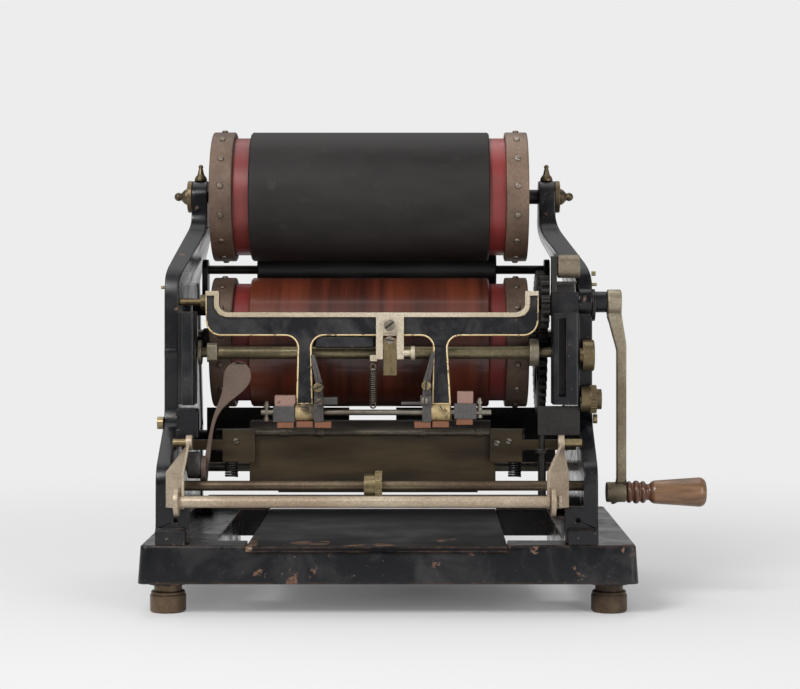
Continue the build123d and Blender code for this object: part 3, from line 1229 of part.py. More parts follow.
# impression cradle: two arms on a cross shaft at the back, which lift the impression roller, and a
# sheet-iron apron on their cross bar, notched in the middle
arm_inner = impression_length / 2 + CRADLE_ARM_GAP
with BuildPart() as impression_cradle:
    turn(-left_in - FRAME_WALL + 1, right_out - 1, CRADLE_SHAFT_RADIUS, CRADLE)
    for side in (-1, 1):
        x_from = side * arm_inner
        with BuildSketch(on_axis(x_from, CRADLE)) as arm_bar:
            with BuildLine():
                Polyline((0, -10), (0, 10), (-CRADLE_Y, IMPRESSION_Z - CRADLE_Z + 9),
                         (-CRADLE_Y, IMPRESSION_Z - CRADLE_Z - 9),
                         close=True)
            make_face()
            Circle(CRADLE_ARM_RADIUS)
            with Locations((-CRADLE_Y, IMPRESSION_Z - CRADLE_Z)):
                Circle(CRADLE_ARM_RADIUS)
        extrude(arm_bar.sketch, amount=side * CRADLE_ARM_WIDTH)
        bore(x_from - side, x_from + side * (CRADLE_ARM_WIDTH + 1), IMPRESSION_SHAFT_RADIUS + RUNNING,
             IMPRESSION)
    turn(-arm_inner, arm_inner, CRADLE_BAR_RADIUS, (CRADLE_Y - CRADLE_BAR_SETBACK, CRADLE_Z))
    apron_y = CRADLE_Y - CRADLE_BAR_SETBACK
    apron_left = -left_in + APRON_SIDE_GAP
    apron_right = right_in - APRON_SIDE_GAP
    for from_x, to_x in ((apron_left, APRON_NOTCH_LEFT), (APRON_NOTCH_RIGHT, apron_right)):
        block(from_x, to_x, apron_y, apron_y + APRON_THICKNESS, APRON_BOTTOM_Z, APRON_TOP_Z)
    block(APRON_NOTCH_LEFT, APRON_NOTCH_RIGHT, apron_y, apron_y + APRON_THICKNESS, APRON_BOTTOM_Z,
          APRON_NOTCH_Z)
keep(impression_cradle, "impression_cradle")

with BuildPart() as impression_roller:
    turn(-impression_length / 2, impression_length / 2, IMPRESSION_RADIUS, IMPRESSION)
    chamfer(impression_roller.edges().filter_by(GeomType.CIRCLE), 1)
    bore(-impression_length, impression_length, IMPRESSION_SHAFT_RADIUS, IMPRESSION)
keep(impression_roller, "impression_roller")

with BuildPart() as impression_shaft:
    turn(-arm_inner - CRADLE_ARM_WIDTH, arm_inner + CRADLE_ARM_WIDTH, IMPRESSION_SHAFT_RADIUS, IMPRESSION)
keep(impression_shaft, "impression_shaft")

# impression lever: a black hub on the left and a brown plate that grows into a spoon-shaped paddle
lever_hub_from = -left_in + 13
lever_hub_to = lever_hub_from + LEVER_HUB_WIDTH
PADDLE_REACH = 30.0
PADDLE_RISE = 85.3
stem_x = lever_hub_to + LEVER_PLATE
paddle_x = stem_x + PADDLE_REACH
paddle_z = LEVER_Z + PADDLE_RISE
with BuildPart() as impression_lever:
    turn(lever_hub_from, lever_hub_to, LEVER_HUB_RADIUS, LEVER)
    fillet(impression_lever.edges().filter_by(GeomType.CIRCLE), 2)
    turn(lever_hub_to, lever_hub_to + LEVER_PLATE, LEVER_PLATE_RADIUS, (LEVER_Y, LEVER_Z - 4))
    with BuildSketch(facing(LEVER_Y + PADDLE_THICKNESS / 2)) as paddle_shape:
        with BuildLine():
            Spline(
                (stem_x, LEVER_Z - 6), (stem_x + 3.5, LEVER_Z + 12), (stem_x + 13, LEVER_Z + 52),
                (paddle_x - 1, paddle_z - 18), (paddle_x + 12.5, paddle_z - 2),
                (paddle_x + 11, paddle_z + 10),
                (paddle_x, paddle_z + 16), (paddle_x - 12, paddle_z + 8), (paddle_x - 14.5, paddle_z - 8),
                (stem_x + 7.5, LEVER_Z + 52), (stem_x - 1, LEVER_Z + 14),
                (stem_x - LEVER_PLATE + 1, LEVER_Z - 2),
            )
            Line((stem_x - LEVER_PLATE + 1, LEVER_Z - 2), (stem_x, LEVER_Z - 6))
        make_face()
    extrude(paddle_shape.sketch, amount=PADDLE_THICKNESS)
    bore(lever_hub_from - 1, lever_hub_to + LEVER_PLATE - 1.5, LEVER_STUD_RADIUS + RUNNING, LEVER)
keep(impression_lever, "impression_lever")

# front bail: a round bar between two bent sheet arms
bail_left_hub = -left_in + 13
bail_right_hub = right_in - 23
bail_bend_z = BAIL_BAR_Z + 27
BAIL_FACE_OUT = 3.4
BAIL_FACE_INSET = 14.0
BAIL_FACE_WIDTH = 20.0
BAIL_FACE_DEPTH = 17.0
BAIL_BAR_SETBACK = 34.0
BAIL_WASHER = 4.5
BAIL_NUT_RADIUS = 6.5
BAIL_NUT = 3.5
BAIL_END_RADIUS = 4.0
bail_left_face = BAIL_FACE_INSET - left_in
bail_right_face = right_in - BAIL_BAR_SETBACK - 0.5
bail_bar_left = bail_left_face - 2.5
bail_bar_right = right_in - BAIL_BAR_SETBACK
BAIL_BAR = (BAIL_BAR_Y, BAIL_BAR_Z)
with BuildPart() as front_bail:
    for hub_x, face_out, face_in in (
        (bail_left_hub, -left_in - BAIL_FACE_OUT, bail_left_face),
        (bail_right_hub, bail_right_face + BAIL_FACE_WIDTH, bail_right_face),
    ):
        lean = 1 if face_out < 0 else -1
        face_plan = [(face_out, BAIL_BAR_Y + BAIL_FACE_DEPTH), (face_in, BAIL_BAR_Y),
                     (face_in + lean * BAIL_SHEET, BAIL_BAR_Y + 1.5),
                     (face_out + lean * BAIL_SHEET, BAIL_BAR_Y + BAIL_FACE_DEPTH + 1.5)]
        with BuildSketch(level(BAIL_BAR_Z - 7)) as face_section:
            with BuildLine():
                Polyline(*face_plan, close=True)
            make_face()
        extrude(face_section.sketch, amount=bail_bend_z - BAIL_BAR_Z + 7)
        hub_plan = [(hub_x + BAIL_HUB_WIDTH / 2 - lean * 1.4, BAIL_PIVOT_Y + 5),
                    (hub_x + BAIL_HUB_WIDTH / 2 - lean * 1.4, BAIL_PIVOT_Y - 9),
                    (hub_x + BAIL_HUB_WIDTH / 2 + lean * 1.4, BAIL_PIVOT_Y - 9),
                    (hub_x + BAIL_HUB_WIDTH / 2 + lean * 1.4, BAIL_PIVOT_Y + 5)]
        with BuildSketch(level(bail_bend_z)) as lower_section:
            with BuildLine():
                Polyline(*face_plan, close=True)
            make_face()
        with BuildSketch(level(BAIL_PIVOT_Z)) as upper_section:
            with BuildLine():
                Polyline(*hub_plan, close=True)
            make_face()
        loft([lower_section.sketch.faces()[0], upper_section.sketch.faces()[0]])
        turn(hub_x, hub_x + BAIL_HUB_WIDTH, BAIL_HUB_RADIUS, BAIL)
    turn(bail_bar_left, bail_bar_right, BAIL_BAR_RADIUS, BAIL_BAR)
    for washer_x in (bail_bar_left - BAIL_WASHER, bail_bar_right + 1):
        turn(washer_x, washer_x + BAIL_WASHER, BAIL_WASHER_RADIUS, BAIL_BAR)
    turn(bail_bar_right + 8, bail_bar_right + 8 + BAIL_NUT, BAIL_NUT_RADIUS, BAIL_BAR)
    turn(bail_bar_right, bail_bar_right + 9, BAIL_END_RADIUS, BAIL_BAR)
    bore(bail_left_hub - 9, bail_left_hub + 9, BAIL_STUD_RADIUS + RUNNING, BAIL)
    bore(bail_right_hub - 9, bail_right_hub + 9, BAIL_STUD_RADIUS + RUNNING, BAIL)
keep(front_bail, "front_bail")

# gauge shaft across the front with its milled wheel
with BuildPart() as gauge_shaft:
    turn(-left_in - FRAME_WALL + 1, right_out - 1, GAUGE_RADIUS, GAUGE)
keep(gauge_shaft, "gauge_shaft")

with BuildPart() as milled_wheel:
    turn(WHEEL_X, WHEEL_X + WHEEL_WIDTH, WHEEL_RADIUS, GAUGE)
    with BuildSketch(on_axis(WHEEL_X, GAUGE)) as notches:
        with PolarLocations(WHEEL_RADIUS, WHEEL_NOTCHES):
            Circle(0.7)
    extrude(notches.sketch, amount=WHEEL_WIDTH, mode=Mode.SUBTRACT)
    turn(WHEEL_X - WHEEL_HUB_WIDTH, WHEEL_X, WHEEL_HUB_RADIUS, GAUGE)
    bore(WHEEL_X - WHEEL_HUB_WIDTH - 1, WHEEL_X + WHEEL_WIDTH + 1, GAUGE_RADIUS, GAUGE)
keep(milled_wheel, "milled_wheel")

# slotted guide on the right, with the crank's inner bearing above it
slot_left = fitting_x
slot_right = right_in
slot_mid = slot_left + SLOT_BLOCK_WIDTH * 0.35
with BuildPart() as slotted_guide:
    block(slot_left, slot_right, SLOT_BLOCK_FRONT, SLOT_BLOCK_REAR, SLOT_BLOCK_BOTTOM_Z, SLOT_BLOCK_TOP_Z)
    fillet(slotted_guide.edges().filter_by(Axis.Z).group_by(Axis.Y)[0], 4)
    block(slot_mid - SLOT_WIDTH / 2, slot_mid + SLOT_WIDTH / 2, SLOT_BLOCK_FRONT - 1,
          SLOT_BLOCK_FRONT + SLOT_DEPTH,
          SLOT_BLOCK_BOTTOM_Z + 8, SLOT_BLOCK_TOP_Z - 5, Mode.SUBTRACT)
    turn(slot_left, slot_right, GUIDE_BOSS_RADIUS, CRANK)
    block(slot_left, slot_right, CRANK_Y - 14, CRANK_Y, SLOT_BLOCK_TOP_Z - 4, CRANK_Z + GUIDE_BOSS_RADIUS)
    bore(slot_left - 1, slot_right + 1, SHAFT_RADIUS + RUNNING, CRANK)
keep(slotted_guide, "slotted_guide")

# brass hub and knob stud on the guide's right side, in front of the frame
hub_stub = (SLOT_BLOCK_FRONT + 10, FEED_Z - 2)
KNOB = (SLOT_BLOCK_FRONT + 10, KNOB_Z)
knob_from = slot_right + CLEAR + 1
with BuildPart() as guide_hub:
    turn(slot_right, slot_right + 2.7, 8, hub_stub)
    turn(slot_right + 2.7, slot_right + 14.2, 15.5, hub_stub)
    fillet(guide_hub.edges().filter_by(GeomType.CIRCLE).sort_by(Axis.X)[-1], 1.5)
keep(guide_hub, "guide_hub")

with BuildPart() as adjusting_knob:
    turn(knob_from, knob_from + KNOB_WIDTH - 6, KNOB_RADIUS - 1.5, KNOB)
    turn(knob_from + KNOB_WIDTH - 6, knob_from + KNOB_WIDTH, KNOB_RADIUS, KNOB)
    turn(knob_from + KNOB_WIDTH, knob_from + KNOB_WIDTH + 5, KNOB_RADIUS - 4, KNOB)
    with BuildSketch(on_axis(knob_from + KNOB_WIDTH - 6, KNOB)) as knurls:
        with PolarLocations(KNOB_RADIUS, 24):
            Circle(1.0)
    extrude(knurls.sketch, amount=6, mode=Mode.SUBTRACT)
    bore(knob_from - 1, knob_from + KNOB_WIDTH - 2, SPINDLE_RADIUS + RUNNING, KNOB)
keep(adjusting_knob, "adjusting_knob")

# small side roller on its bracket above the crank's inner bearing
SIDE_ROLLER = (SIDE_ROLLER_Y, SIDE_ROLLER_Z)
side_from = slot_left + 6
with BuildPart() as side_roller:
    turn(side_from, side_from + SIDE_ROLLER_LENGTH, SIDE_ROLLER_RADIUS, SIDE_ROLLER)
    chamfer(side_roller.edges().filter_by(GeomType.CIRCLE), 0.8)
    bore(side_from - 1, side_from + SIDE_ROLLER_LENGTH + 1, 3 + RUNNING, SIDE_ROLLER)
keep(side_roller, "side_roller")

SIDE_PIN_RADIUS = 3.0
SIDE_PLATE_THICKNESS = 3.0
SIDE_CHEEK_WIDTH = 5.0
SIDE_PLATE_FRONT = 9.0
SIDE_PLATE_BACK = 12.0
SIDE_PLATE_WIDTH = 23.0
SIDE_CHEEK_OVER = 10.0
SIDE_STEM_DEPTH = 14.0
plate_z = SIDE_ROLLER_Z - SIDE_ROLLER_RADIUS - CLEAR - SIDE_PLATE_THICKNESS
side_plate_bottom = plate_z - SIDE_PLATE_THICKNESS
side_front = SIDE_ROLLER_Y - SIDE_PLATE_FRONT
side_back = SIDE_ROLLER_Y + SIDE_PLATE_BACK
side_right = slot_left + SIDE_PLATE_WIDTH
stem_bottom = CRANK_Z + GUIDE_BOSS_RADIUS
with BuildPart() as side_roller_bracket:
    block(slot_left, slot_left + SIDE_CHEEK_WIDTH, side_front, side_back, stem_bottom,
          SIDE_ROLLER_Z + SIDE_CHEEK_OVER)
    turn(slot_left, side_from + SIDE_ROLLER_LENGTH, SIDE_PIN_RADIUS, SIDE_ROLLER)
    block(slot_left, side_right, side_front, side_back, side_plate_bottom, plate_z)
    block(slot_left, side_right, CRANK_Y - SIDE_STEM_DEPTH, CRANK_Y, stem_bottom, side_plate_bottom)
keep(side_roller_bracket, "side_roller_bracket")

# pillar with its collar, on a shelf of the right frame
SHELF_THICKNESS = 8.0
SHELF_OVER = 2.0
PILLAR_COLLAR = 4.0
PILLAR_COLLAR_OVER = 3.5
PILLAR_STEM_RADIUS = 3.0
PILLAR_STEM = 30.0
PILLAR_HEAD_HALF = 4.0
PILLAR_HEAD_FRONT = 5.0
PILLAR_HEAD_BACK = 9.0
PILLAR_HEAD_LOW = 18.0
PILLAR_HEAD_HIGH = 46.0
shelf_half = PILLAR_RADIUS + SHELF_OVER
collar_top_z = PILLAR_TOP_Z + PILLAR_COLLAR
with BuildPart() as pillar:
    block(pillar_x - shelf_half, right_in, PILLAR_Y - shelf_half, PILLAR_Y + shelf_half,
          PILLAR_BOTTOM_Z - SHELF_THICKNESS, PILLAR_BOTTOM_Z)
    upright(pillar_x, PILLAR_Y, PILLAR_BOTTOM_Z, PILLAR_TOP_Z, PILLAR_RADIUS)
    upright(pillar_x, PILLAR_Y, PILLAR_TOP_Z, collar_top_z, PILLAR_RADIUS + PILLAR_COLLAR_OVER)
    upright(pillar_x, PILLAR_Y, collar_top_z, PILLAR_TOP_Z + PILLAR_STEM, PILLAR_STEM_RADIUS)
    block(pillar_x - PILLAR_HEAD_HALF, right_in, PILLAR_Y - PILLAR_HEAD_FRONT, PILLAR_Y + PILLAR_HEAD_BACK,
          PILLAR_TOP_Z + PILLAR_HEAD_LOW, PILLAR_TOP_Z + PILLAR_HEAD_HIGH)
keep(pillar, "pillar")

# black guide bar and bracket on the left frame
GUIDE_BAR_WIDTH = 18.0
GUIDE_BAR_STEP = 5.5
GUIDE_BAR_DEPTH = 18.0
GUIDE_BAR_FOOT = 14.0
bar_left = -left_in
bar_right = bar_left + GUIDE_BAR_WIDTH
bar_back = CRANK_Y
bar_step_y = bar_back - GUIDE_BAR_FOOT
bar_bottom_z = SLOT_BLOCK_BOTTOM_Z - 0.7
bar_top_z = SLOT_BLOCK_TOP_Z + 1
with BuildPart() as left_guide_bar:
    block(bar_left, bar_right, bar_step_y, bar_back, bar_bottom_z, bar_top_z)
    block(bar_left + GUIDE_BAR_STEP, bar_right, bar_step_y - GUIDE_BAR_DEPTH, bar_step_y, bar_bottom_z,
          bar_top_z)
    fillet(left_guide_bar.edges().filter_by(Axis.Z).group_by(Axis.Y)[0], 3)
    bore(bar_left - 1, bar_right + 1, FEED_END_RADIUS + RUNNING, FEED)
keep(left_guide_bar, "left_guide_bar")

BRACKET_WIDTH = 22.0
BRACKET_DEPTH = 14.0
BRACKET_HEIGHT = 29.0
BRACKET_WINDOW = 14.0
bracket_front = bar_step_y - GUIDE_BAR_DEPTH
bracket_top_z = bar_bottom_z - 3
bracket_mid_z = bracket_top_z - BRACKET_HEIGHT / 2
with BuildPart() as left_bracket:
    block(bar_left, bar_left + BRACKET_WIDTH, bracket_front, bracket_front + BRACKET_DEPTH,
          bracket_top_z - BRACKET_HEIGHT, bracket_top_z)
    block(bar_left - 1, bar_left + 4, bracket_front - 1, bracket_front + BRACKET_DEPTH / 2,
          bracket_mid_z - BRACKET_WINDOW / 2, bracket_mid_z + BRACKET_WINDOW / 2, Mode.SUBTRACT)
    fillet(left_bracket.edges().filter_by(Axis.Y).group_by(Axis.Z)[-1], 3)
keep(left_bracket, "left_bracket")

# studs that levers turn on, and the small pins and bolts on the frames
PIN_RADIUS = 1.6
BOLT_HEAD_RADIUS = 6.2
with BuildPart() as frame_studs:
    turn(-left_in, lever_hub_to + LEVER_PLATE - 2, LEVER_STUD_RADIUS, LEVER)
    turn(-left_in, bail_left_hub + BAIL_HUB_WIDTH, BAIL_STUD_RADIUS, BAIL)
    turn(bail_right_hub, right_in, BAIL_STUD_RADIUS, BAIL)
    turn(-left_in, carriage_left + LUG_WIDTH, STUD_RADIUS, CRANK)
    turn(carriage_left - CLEAR - STUD_RING_WIDTH, carriage_left - CLEAR, STUD_RING_RADIUS, CRANK)
    turn(slot_right, knob_from + KNOB_WIDTH - 3, SPINDLE_RADIUS, KNOB)
    turn(-left_out - 6, -left_out, BOLT_HEAD_RADIUS, (bar_step_y, bracket_mid_z - 1))
    turn(-left_out - 4, -left_out, PIN_RADIUS, (CRANK_Y - 2, CRANK_Z + 14.5))
    turn(right_out, right_out + 4, PIN_RADIUS * 1.5, (CRANK_Y, CRANK_Z + 28.5))
    turn(right_out, right_out + 5, PIN_RADIUS, (CRANK_Y - 2, CRANK_Z + 17.5))
    turn(right_out, right_out + 4, BOLT_HEAD_RADIUS * 0.75, (CRANK_Y - 18, KNOB_Z - 19.8))
keep(frame_studs, "frame_studs")
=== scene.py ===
from math import cos, pi, radians, sin

import bmesh
import bpy
from mathutils import Matrix, Vector
from mathutils.bvhtree import BVHTree


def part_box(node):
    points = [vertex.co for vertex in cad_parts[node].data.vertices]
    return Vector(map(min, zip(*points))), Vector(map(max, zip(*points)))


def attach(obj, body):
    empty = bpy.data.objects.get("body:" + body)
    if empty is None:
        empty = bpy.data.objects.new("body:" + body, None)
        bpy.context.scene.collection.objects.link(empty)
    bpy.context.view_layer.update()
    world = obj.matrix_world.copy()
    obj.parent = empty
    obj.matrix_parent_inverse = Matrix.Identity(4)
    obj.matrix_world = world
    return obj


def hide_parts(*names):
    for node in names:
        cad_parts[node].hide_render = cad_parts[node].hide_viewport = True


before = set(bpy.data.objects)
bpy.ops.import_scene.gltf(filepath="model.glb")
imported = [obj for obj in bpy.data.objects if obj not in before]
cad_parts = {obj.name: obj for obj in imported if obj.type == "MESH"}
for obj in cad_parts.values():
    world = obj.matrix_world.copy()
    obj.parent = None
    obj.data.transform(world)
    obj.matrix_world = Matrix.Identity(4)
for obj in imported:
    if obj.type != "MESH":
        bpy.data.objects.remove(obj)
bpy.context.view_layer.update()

# ---------------------------------------------------------------------------------------------
# Studio: a level camera with a long lens in front of the machine, a pale floor that fades into
# the pale room, a bright room behind and above, and large soft lamps.
# ---------------------------------------------------------------------------------------------
ROOM = 0.845
LENS_MM = 94.8
SENSOR_MM = 36.0
LENS_SHIFT = (-0.025, -0.0769)
CAMERA_PLACE = (-0.00765, -2.1805, 0.3185)
FLOOR_RADIUS = 14.0
FLOOR_DROP = 0.0002
FLOOR_GREY = (0.775, 0.775, 0.78, 1)
FADE_START, FADE_END = -0.35, 1.5
GLOW_IN_FRONT, GLOW_BEHIND, GLOW_ABOVE = 0.10, 0.44, 0.24


def put(tree, kind, wires=None, **settings):
    """Adds a shader node; wires maps its inputs to a value or to another node's output."""
    made = tree.nodes.new(kind)
    for name, value in settings.items():
        setattr(made, name, value)
    for name, value in (wires or {}).items():
        if isinstance(value, bpy.types.NodeSocket):
            tree.links.new(value, made.inputs[name])
        else:
            made.inputs[name].default_value = value
    return made


def deselect():
    """Leaves nothing selected."""
    bpy.ops.object.select_all(action="DESELECT")


def bring_in(name, data):
    """A new object in the scene, active and the only one selected."""
    deselect()
    piece = bpy.data.objects.new(name, data)
    bpy.context.scene.collection.objects.link(piece)
    bpy.context.view_layer.objects.active = piece
    piece.select_set(True)
    return piece


lens = bpy.data.cameras.new("camera")
lens.lens = LENS_MM
lens.sensor_width = SENSOR_MM
lens.shift_x, lens.shift_y = LENS_SHIFT
camera = bpy.data.objects.new("camera", lens)
camera.location = CAMERA_PLACE
camera.rotation_euler = (radians(90), 0, 0)
bpy.context.scene.collection.objects.link(camera)
bpy.context.scene.camera = camera

deselect()
bpy.ops.mesh.primitive_circle_add(vertices=64, radius=FLOOR_RADIUS, fill_type="NGON",
                                  location=(0, 0, -FLOOR_DROP))
floor = bpy.context.object
floor.name = "studio_floor"
paper = bpy.data.materials.new("floor_paper")
paper.use_nodes = True
tree = paper.node_tree
tree.nodes.clear()
place = put(tree, "ShaderNodeTexCoord")
far = put(tree, "ShaderNodeVectorMath", {0: place.outputs["Object"]}, operation="LENGTH")
fade = put(tree, "ShaderNodeMapRange", {"Value": far.outputs["Value"], "From Min": FADE_START,
                                        "From Max": FADE_END}, interpolation_type="SMOOTHSTEP")
matt = put(tree, "ShaderNodeBsdfDiffuse", {"Color": FLOOR_GREY})
haze = put(tree, "ShaderNodeEmission", {"Color": (ROOM, ROOM, ROOM, 1), "Strength": 1.0})
join = put(tree, "ShaderNodeMixShader", {"Fac": fade.outputs["Result"]})
tree.links.new(matt.outputs[0], join.inputs[1])
tree.links.new(haze.outputs[0], join.inputs[2])
put(tree, "ShaderNodeOutputMaterial", {"Surface": join.outputs[0]})
floor.data.materials.append(paper)

room = bpy.data.worlds.new("room")
bpy.context.scene.world = room
room.use_nodes = True
tree = room.node_tree
tree.nodes.clear()
place = put(tree, "ShaderNodeTexCoord")
axes = put(tree, "ShaderNodeSeparateXYZ", {"Vector": place.outputs["Generated"]})
behind = put(tree, "ShaderNodeMapRange", {"Value": axes.outputs["Y"], "From Min": -0.55, "From Max": 0.65,
                                          "To Min": GLOW_IN_FRONT, "To Max": GLOW_BEHIND},
             interpolation_type="SMOOTHSTEP")
above = put(tree, "ShaderNodeMapRange", {"Value": axes.outputs["Z"], "From Min": 0.1, "From Max": 0.9,
                                         "To Min": 0.0, "To Max": GLOW_ABOVE},
            interpolation_type="SMOOTHSTEP")
glow = put(tree, "ShaderNodeMath", {0: behind.outputs["Result"], 1: above.outputs["Result"]},
           operation="MAXIMUM")
ray = put(tree, "ShaderNodeLightPath")
level = put(tree, "ShaderNodeMix", {"Factor": ray.outputs["Is Camera Ray"], "A": glow.outputs[0], "B": ROOM},
            data_type="FLOAT")
sky = put(tree, "ShaderNodeBackground", {"Color": (1, 1, 1, 1), "Strength": level.outputs["Result"]})
put(tree, "ShaderNodeOutputWorld", {"Surface": sky.outputs[0]})

for lamp_name, lamp_place, aim, size, watts in (
    ("key_lamp", (-1.1, -1.9, 1.8), (0, 0, 0.25), 1.1, 52.0),
    ("top_lamp", (-0.2, 0.5, 2.4), (0, 0, 0.2), 2.4, 20.0),
    ("fill_lamp", (1.5, -2.0, 0.8), (0, 0, 0.2), 1.6, 26.0),
):
    lamp = bpy.data.lights.new(lamp_name, "AREA")
    lamp.shape = "DISK"
    lamp.size = size
    lamp.energy = watts
    stand = bpy.data.objects.new(lamp_name, lamp)
    stand.location = lamp_place
    stand.rotation_euler = (Vector(aim) - Vector(lamp_place)).to_track_quat("-Z", "Y").to_euler()
    bpy.context.scene.collection.objects.link(stand)
bpy.context.scene.view_settings.view_transform = "Standard"

# ---------------------------------------------------------------------------------------------
# Four feet: turned bronze, gone dark brown, with a brighter rubbed rim round the sole and the
# shoulder. Each screws up into a boss of the base.
# ---------------------------------------------------------------------------------------------


def noise(tree, place, scale, detail, roughness=0.5, distortion=0.0):
    """A noise mask at a place, with its scale a number or another node's output."""
    return put(tree, "ShaderNodeTexNoise", {"Vector": place, "Scale": scale, "Detail": detail,
                                            "Roughness": roughness, "Distortion": distortion}).outputs["Fac"]


wear = bpy.data.node_groups.new("old_surface", "ShaderNodeTree")
for socket, start in (("Edge Width", 0.0012), ("Chip Scale", 40.0), ("Chip Share", 0.3),
                      ("Grain Scale", 300.0)):
    wear.interface.new_socket(socket, in_out="INPUT", socket_type="NodeSocketFloat").default_value = start
for socket in ("Edge", "Chips", "Dirt", "Grain"):
    wear.interface.new_socket(socket, in_out="OUTPUT", socket_type="NodeSocketFloat")
wear.interface.new_socket("Rounded", in_out="OUTPUT", socket_type="NodeSocketVector")
given = put(wear, "NodeGroupInput")
spot = put(wear, "ShaderNodeTexCoord").outputs["Object"]
rounded = put(wear, "ShaderNodeBevel", {"Radius": given.outputs["Edge Width"]}, samples=4)
facing = put(wear, "ShaderNodeNewGeometry")
agree = put(wear, "ShaderNodeVectorMath", {0: rounded.outputs["Normal"], 1: facing.outputs["Normal"]},
            operation="DOT_PRODUCT")
turned = put(wear, "ShaderNodeMapRange", {"Value": agree.outputs["Value"], "From Min": 0.985,
                                          "From Max": 0.86})
bitten = put(wear, "ShaderNodeMapRange", {"Value": noise(wear, spot, 55.0, 5.0, 0.65), "From Min": 0.40,
                                          "From Max": 0.56})
edge = put(wear, "ShaderNodeMath", {0: turned.outputs["Result"], 1: bitten.outputs["Result"]},
           operation="MULTIPLY", use_clamp=True)
patch = noise(wear, spot, given.outputs["Chip Scale"], 7.0, 0.62, 0.25)
limit = put(wear, "ShaderNodeMath", {0: 0.98, 1: given.outputs["Chip Share"]}, operation="SUBTRACT")
over = put(wear, "ShaderNodeMath", {0: patch, 1: limit.outputs[0]}, operation="SUBTRACT")
chips = put(wear, "ShaderNodeMath", {0: over.outputs[0], 1: 34.0}, operation="MULTIPLY", use_clamp=True)
put(wear, "NodeGroupOutput", {"Edge": edge.outputs[0], "Chips": chips.outputs[0],
                              "Dirt": noise(wear, spot, 9.0, 4.0, 0.6),
                              "Grain": noise(wear, spot, given.outputs["Grain Scale"], 3.0, 0.6),
                              "Rounded": rounded.outputs["Normal"]})


def blended(tree, share, low, high):
    """A colour between two, by a mask; each colour is a triple or another node's output."""
    made = put(tree, "ShaderNodeMix", {"Factor": share}, data_type="RGBA")
    for socket, colour in ((made.inputs[6], low), (made.inputs[7], high)):
        if isinstance(colour, bpy.types.NodeSocket):
            tree.links.new(colour, socket)
        else:
            socket.default_value = (*colour, 1)
    return made.outputs[2]


def ranged(tree, value, low, high, out_low=0.0, out_high=1.0):
    """A value stretched from one range to another, held at its ends."""
    return put(tree, "ShaderNodeMapRange", {"Value": value, "From Min": low, "From Max": high,
                                            "To Min": out_low, "To Max": out_high}).outputs["Result"]


def reckon(tree, first, second, operation="MULTIPLY"):
    """Two values reckoned into one, held between 0 and 1."""
    return put(tree, "ShaderNodeMath", {0: first, 1: second}, operation=operation, use_clamp=True).outputs[0]


def finish(name, metallic=0.0, edge_width=0.0012, chip_scale=40.0, chip_share=0.3, grain_scale=300.0,
           coat=0.0):
    """A new material with the worn-surface group in it: material, tree, group's outputs, principled node."""
    material = bpy.data.materials.new(name)
    material.use_nodes = True
    tree = material.node_tree
    skin = tree.nodes["Principled BSDF"]
    skin.inputs["Metallic"].default_value = metallic
    skin.inputs["Coat Weight"].default_value = coat
    skin.inputs["Coat Roughness"].default_value = 0.12
    worn = put(tree, "ShaderNodeGroup", node_tree=wear)
    for socket, value in (("Edge Width", edge_width), ("Chip Scale", chip_scale),
                          ("Chip Share", chip_share), ("Grain Scale", grain_scale)):
        worn.inputs[socket].default_value = value
    return material, tree, worn.outputs, skin


def feed(tree, skin, colour, roughness):
    """Gives the shader its colour, and its roughness as a number or another node's output."""
    tree.links.new(colour, skin.inputs["Base Color"])
    if isinstance(roughness, bpy.types.NodeSocket):
        tree.links.new(roughness, skin.inputs["Roughness"])
    else:
        skin.inputs["Roughness"].default_value = roughness


def rough_with(tree, skin, worn, height, strength=0.25, distance=0.0004):
    """Bump from a height, on normals that are rounded at the edges."""
    bump = put(tree, "ShaderNodeBump", {"Height": height, "Normal": worn["Rounded"], "Strength": strength,
                                        "Distance": distance})
    tree.links.new(bump.outputs[0], skin.inputs["Normal"])


def metal(name, clean, tarnish, rubbed, roughness=0.38, metallic=0.85, grain_scale=300.0, tarnish_low=0.38,
          tarnish_high=0.62, edge_width=0.0008, chip_share=0.26, chip_scale=60.0):
    """An old metal: clean colour, tarnish in patches and rubbed edges."""
    material, tree, worn, skin = finish(name, metallic=metallic, edge_width=edge_width, chip_share=chip_share,
                                        chip_scale=chip_scale, grain_scale=grain_scale)
    dull = ranged(tree, worn["Dirt"], tarnish_low, tarnish_high)
    colour = blended(tree, dull, clean, tarnish)
    spots = reckon(tree, worn["Chips"], 0.7)
    colour = blended(tree, spots, colour, tuple(0.45 * c for c in tarnish))
    colour = blended(tree, reckon(tree, worn["Edge"], 0.75), colour, rubbed)
    speckle = ranged(tree, worn["Grain"], 0.3, 0.7, 0.72, 1.15)
    shade = put(tree, "ShaderNodeVectorMath", {0: colour, "Scale": speckle}, operation="SCALE")
    worn_rough = ranged(tree, worn["Dirt"], 0.3, 0.7, roughness - 0.08, roughness + 0.14)
    feed(tree, skin, shade.outputs[0], worn_rough)
    rough_with(tree, skin, worn, worn["Grain"], 0.12)
    return material


def paint(material, *nodes):
    """Gives CAD nodes a material on their own slots."""
    for node in nodes:
        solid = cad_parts[node]
        if not solid.material_slots:
            solid.data.materials.append(material)
        for held in solid.material_slots:
            held.material = material


foot_bronze = metal("foot_bronze", (0.16, 0.105, 0.062), (0.055, 0.036, 0.024), (0.34, 0.24, 0.15),
                    roughness=0.42, metallic=0.6)
paint(foot_bronze, "feet")

# ---------------------------------------------------------------------------------------------
# Base casting: a low cast-iron ring, black japan over a red-brown primer. Corners and the lower
# edge are knocked down to the primer; feet screw into its bosses.
# ---------------------------------------------------------------------------------------------


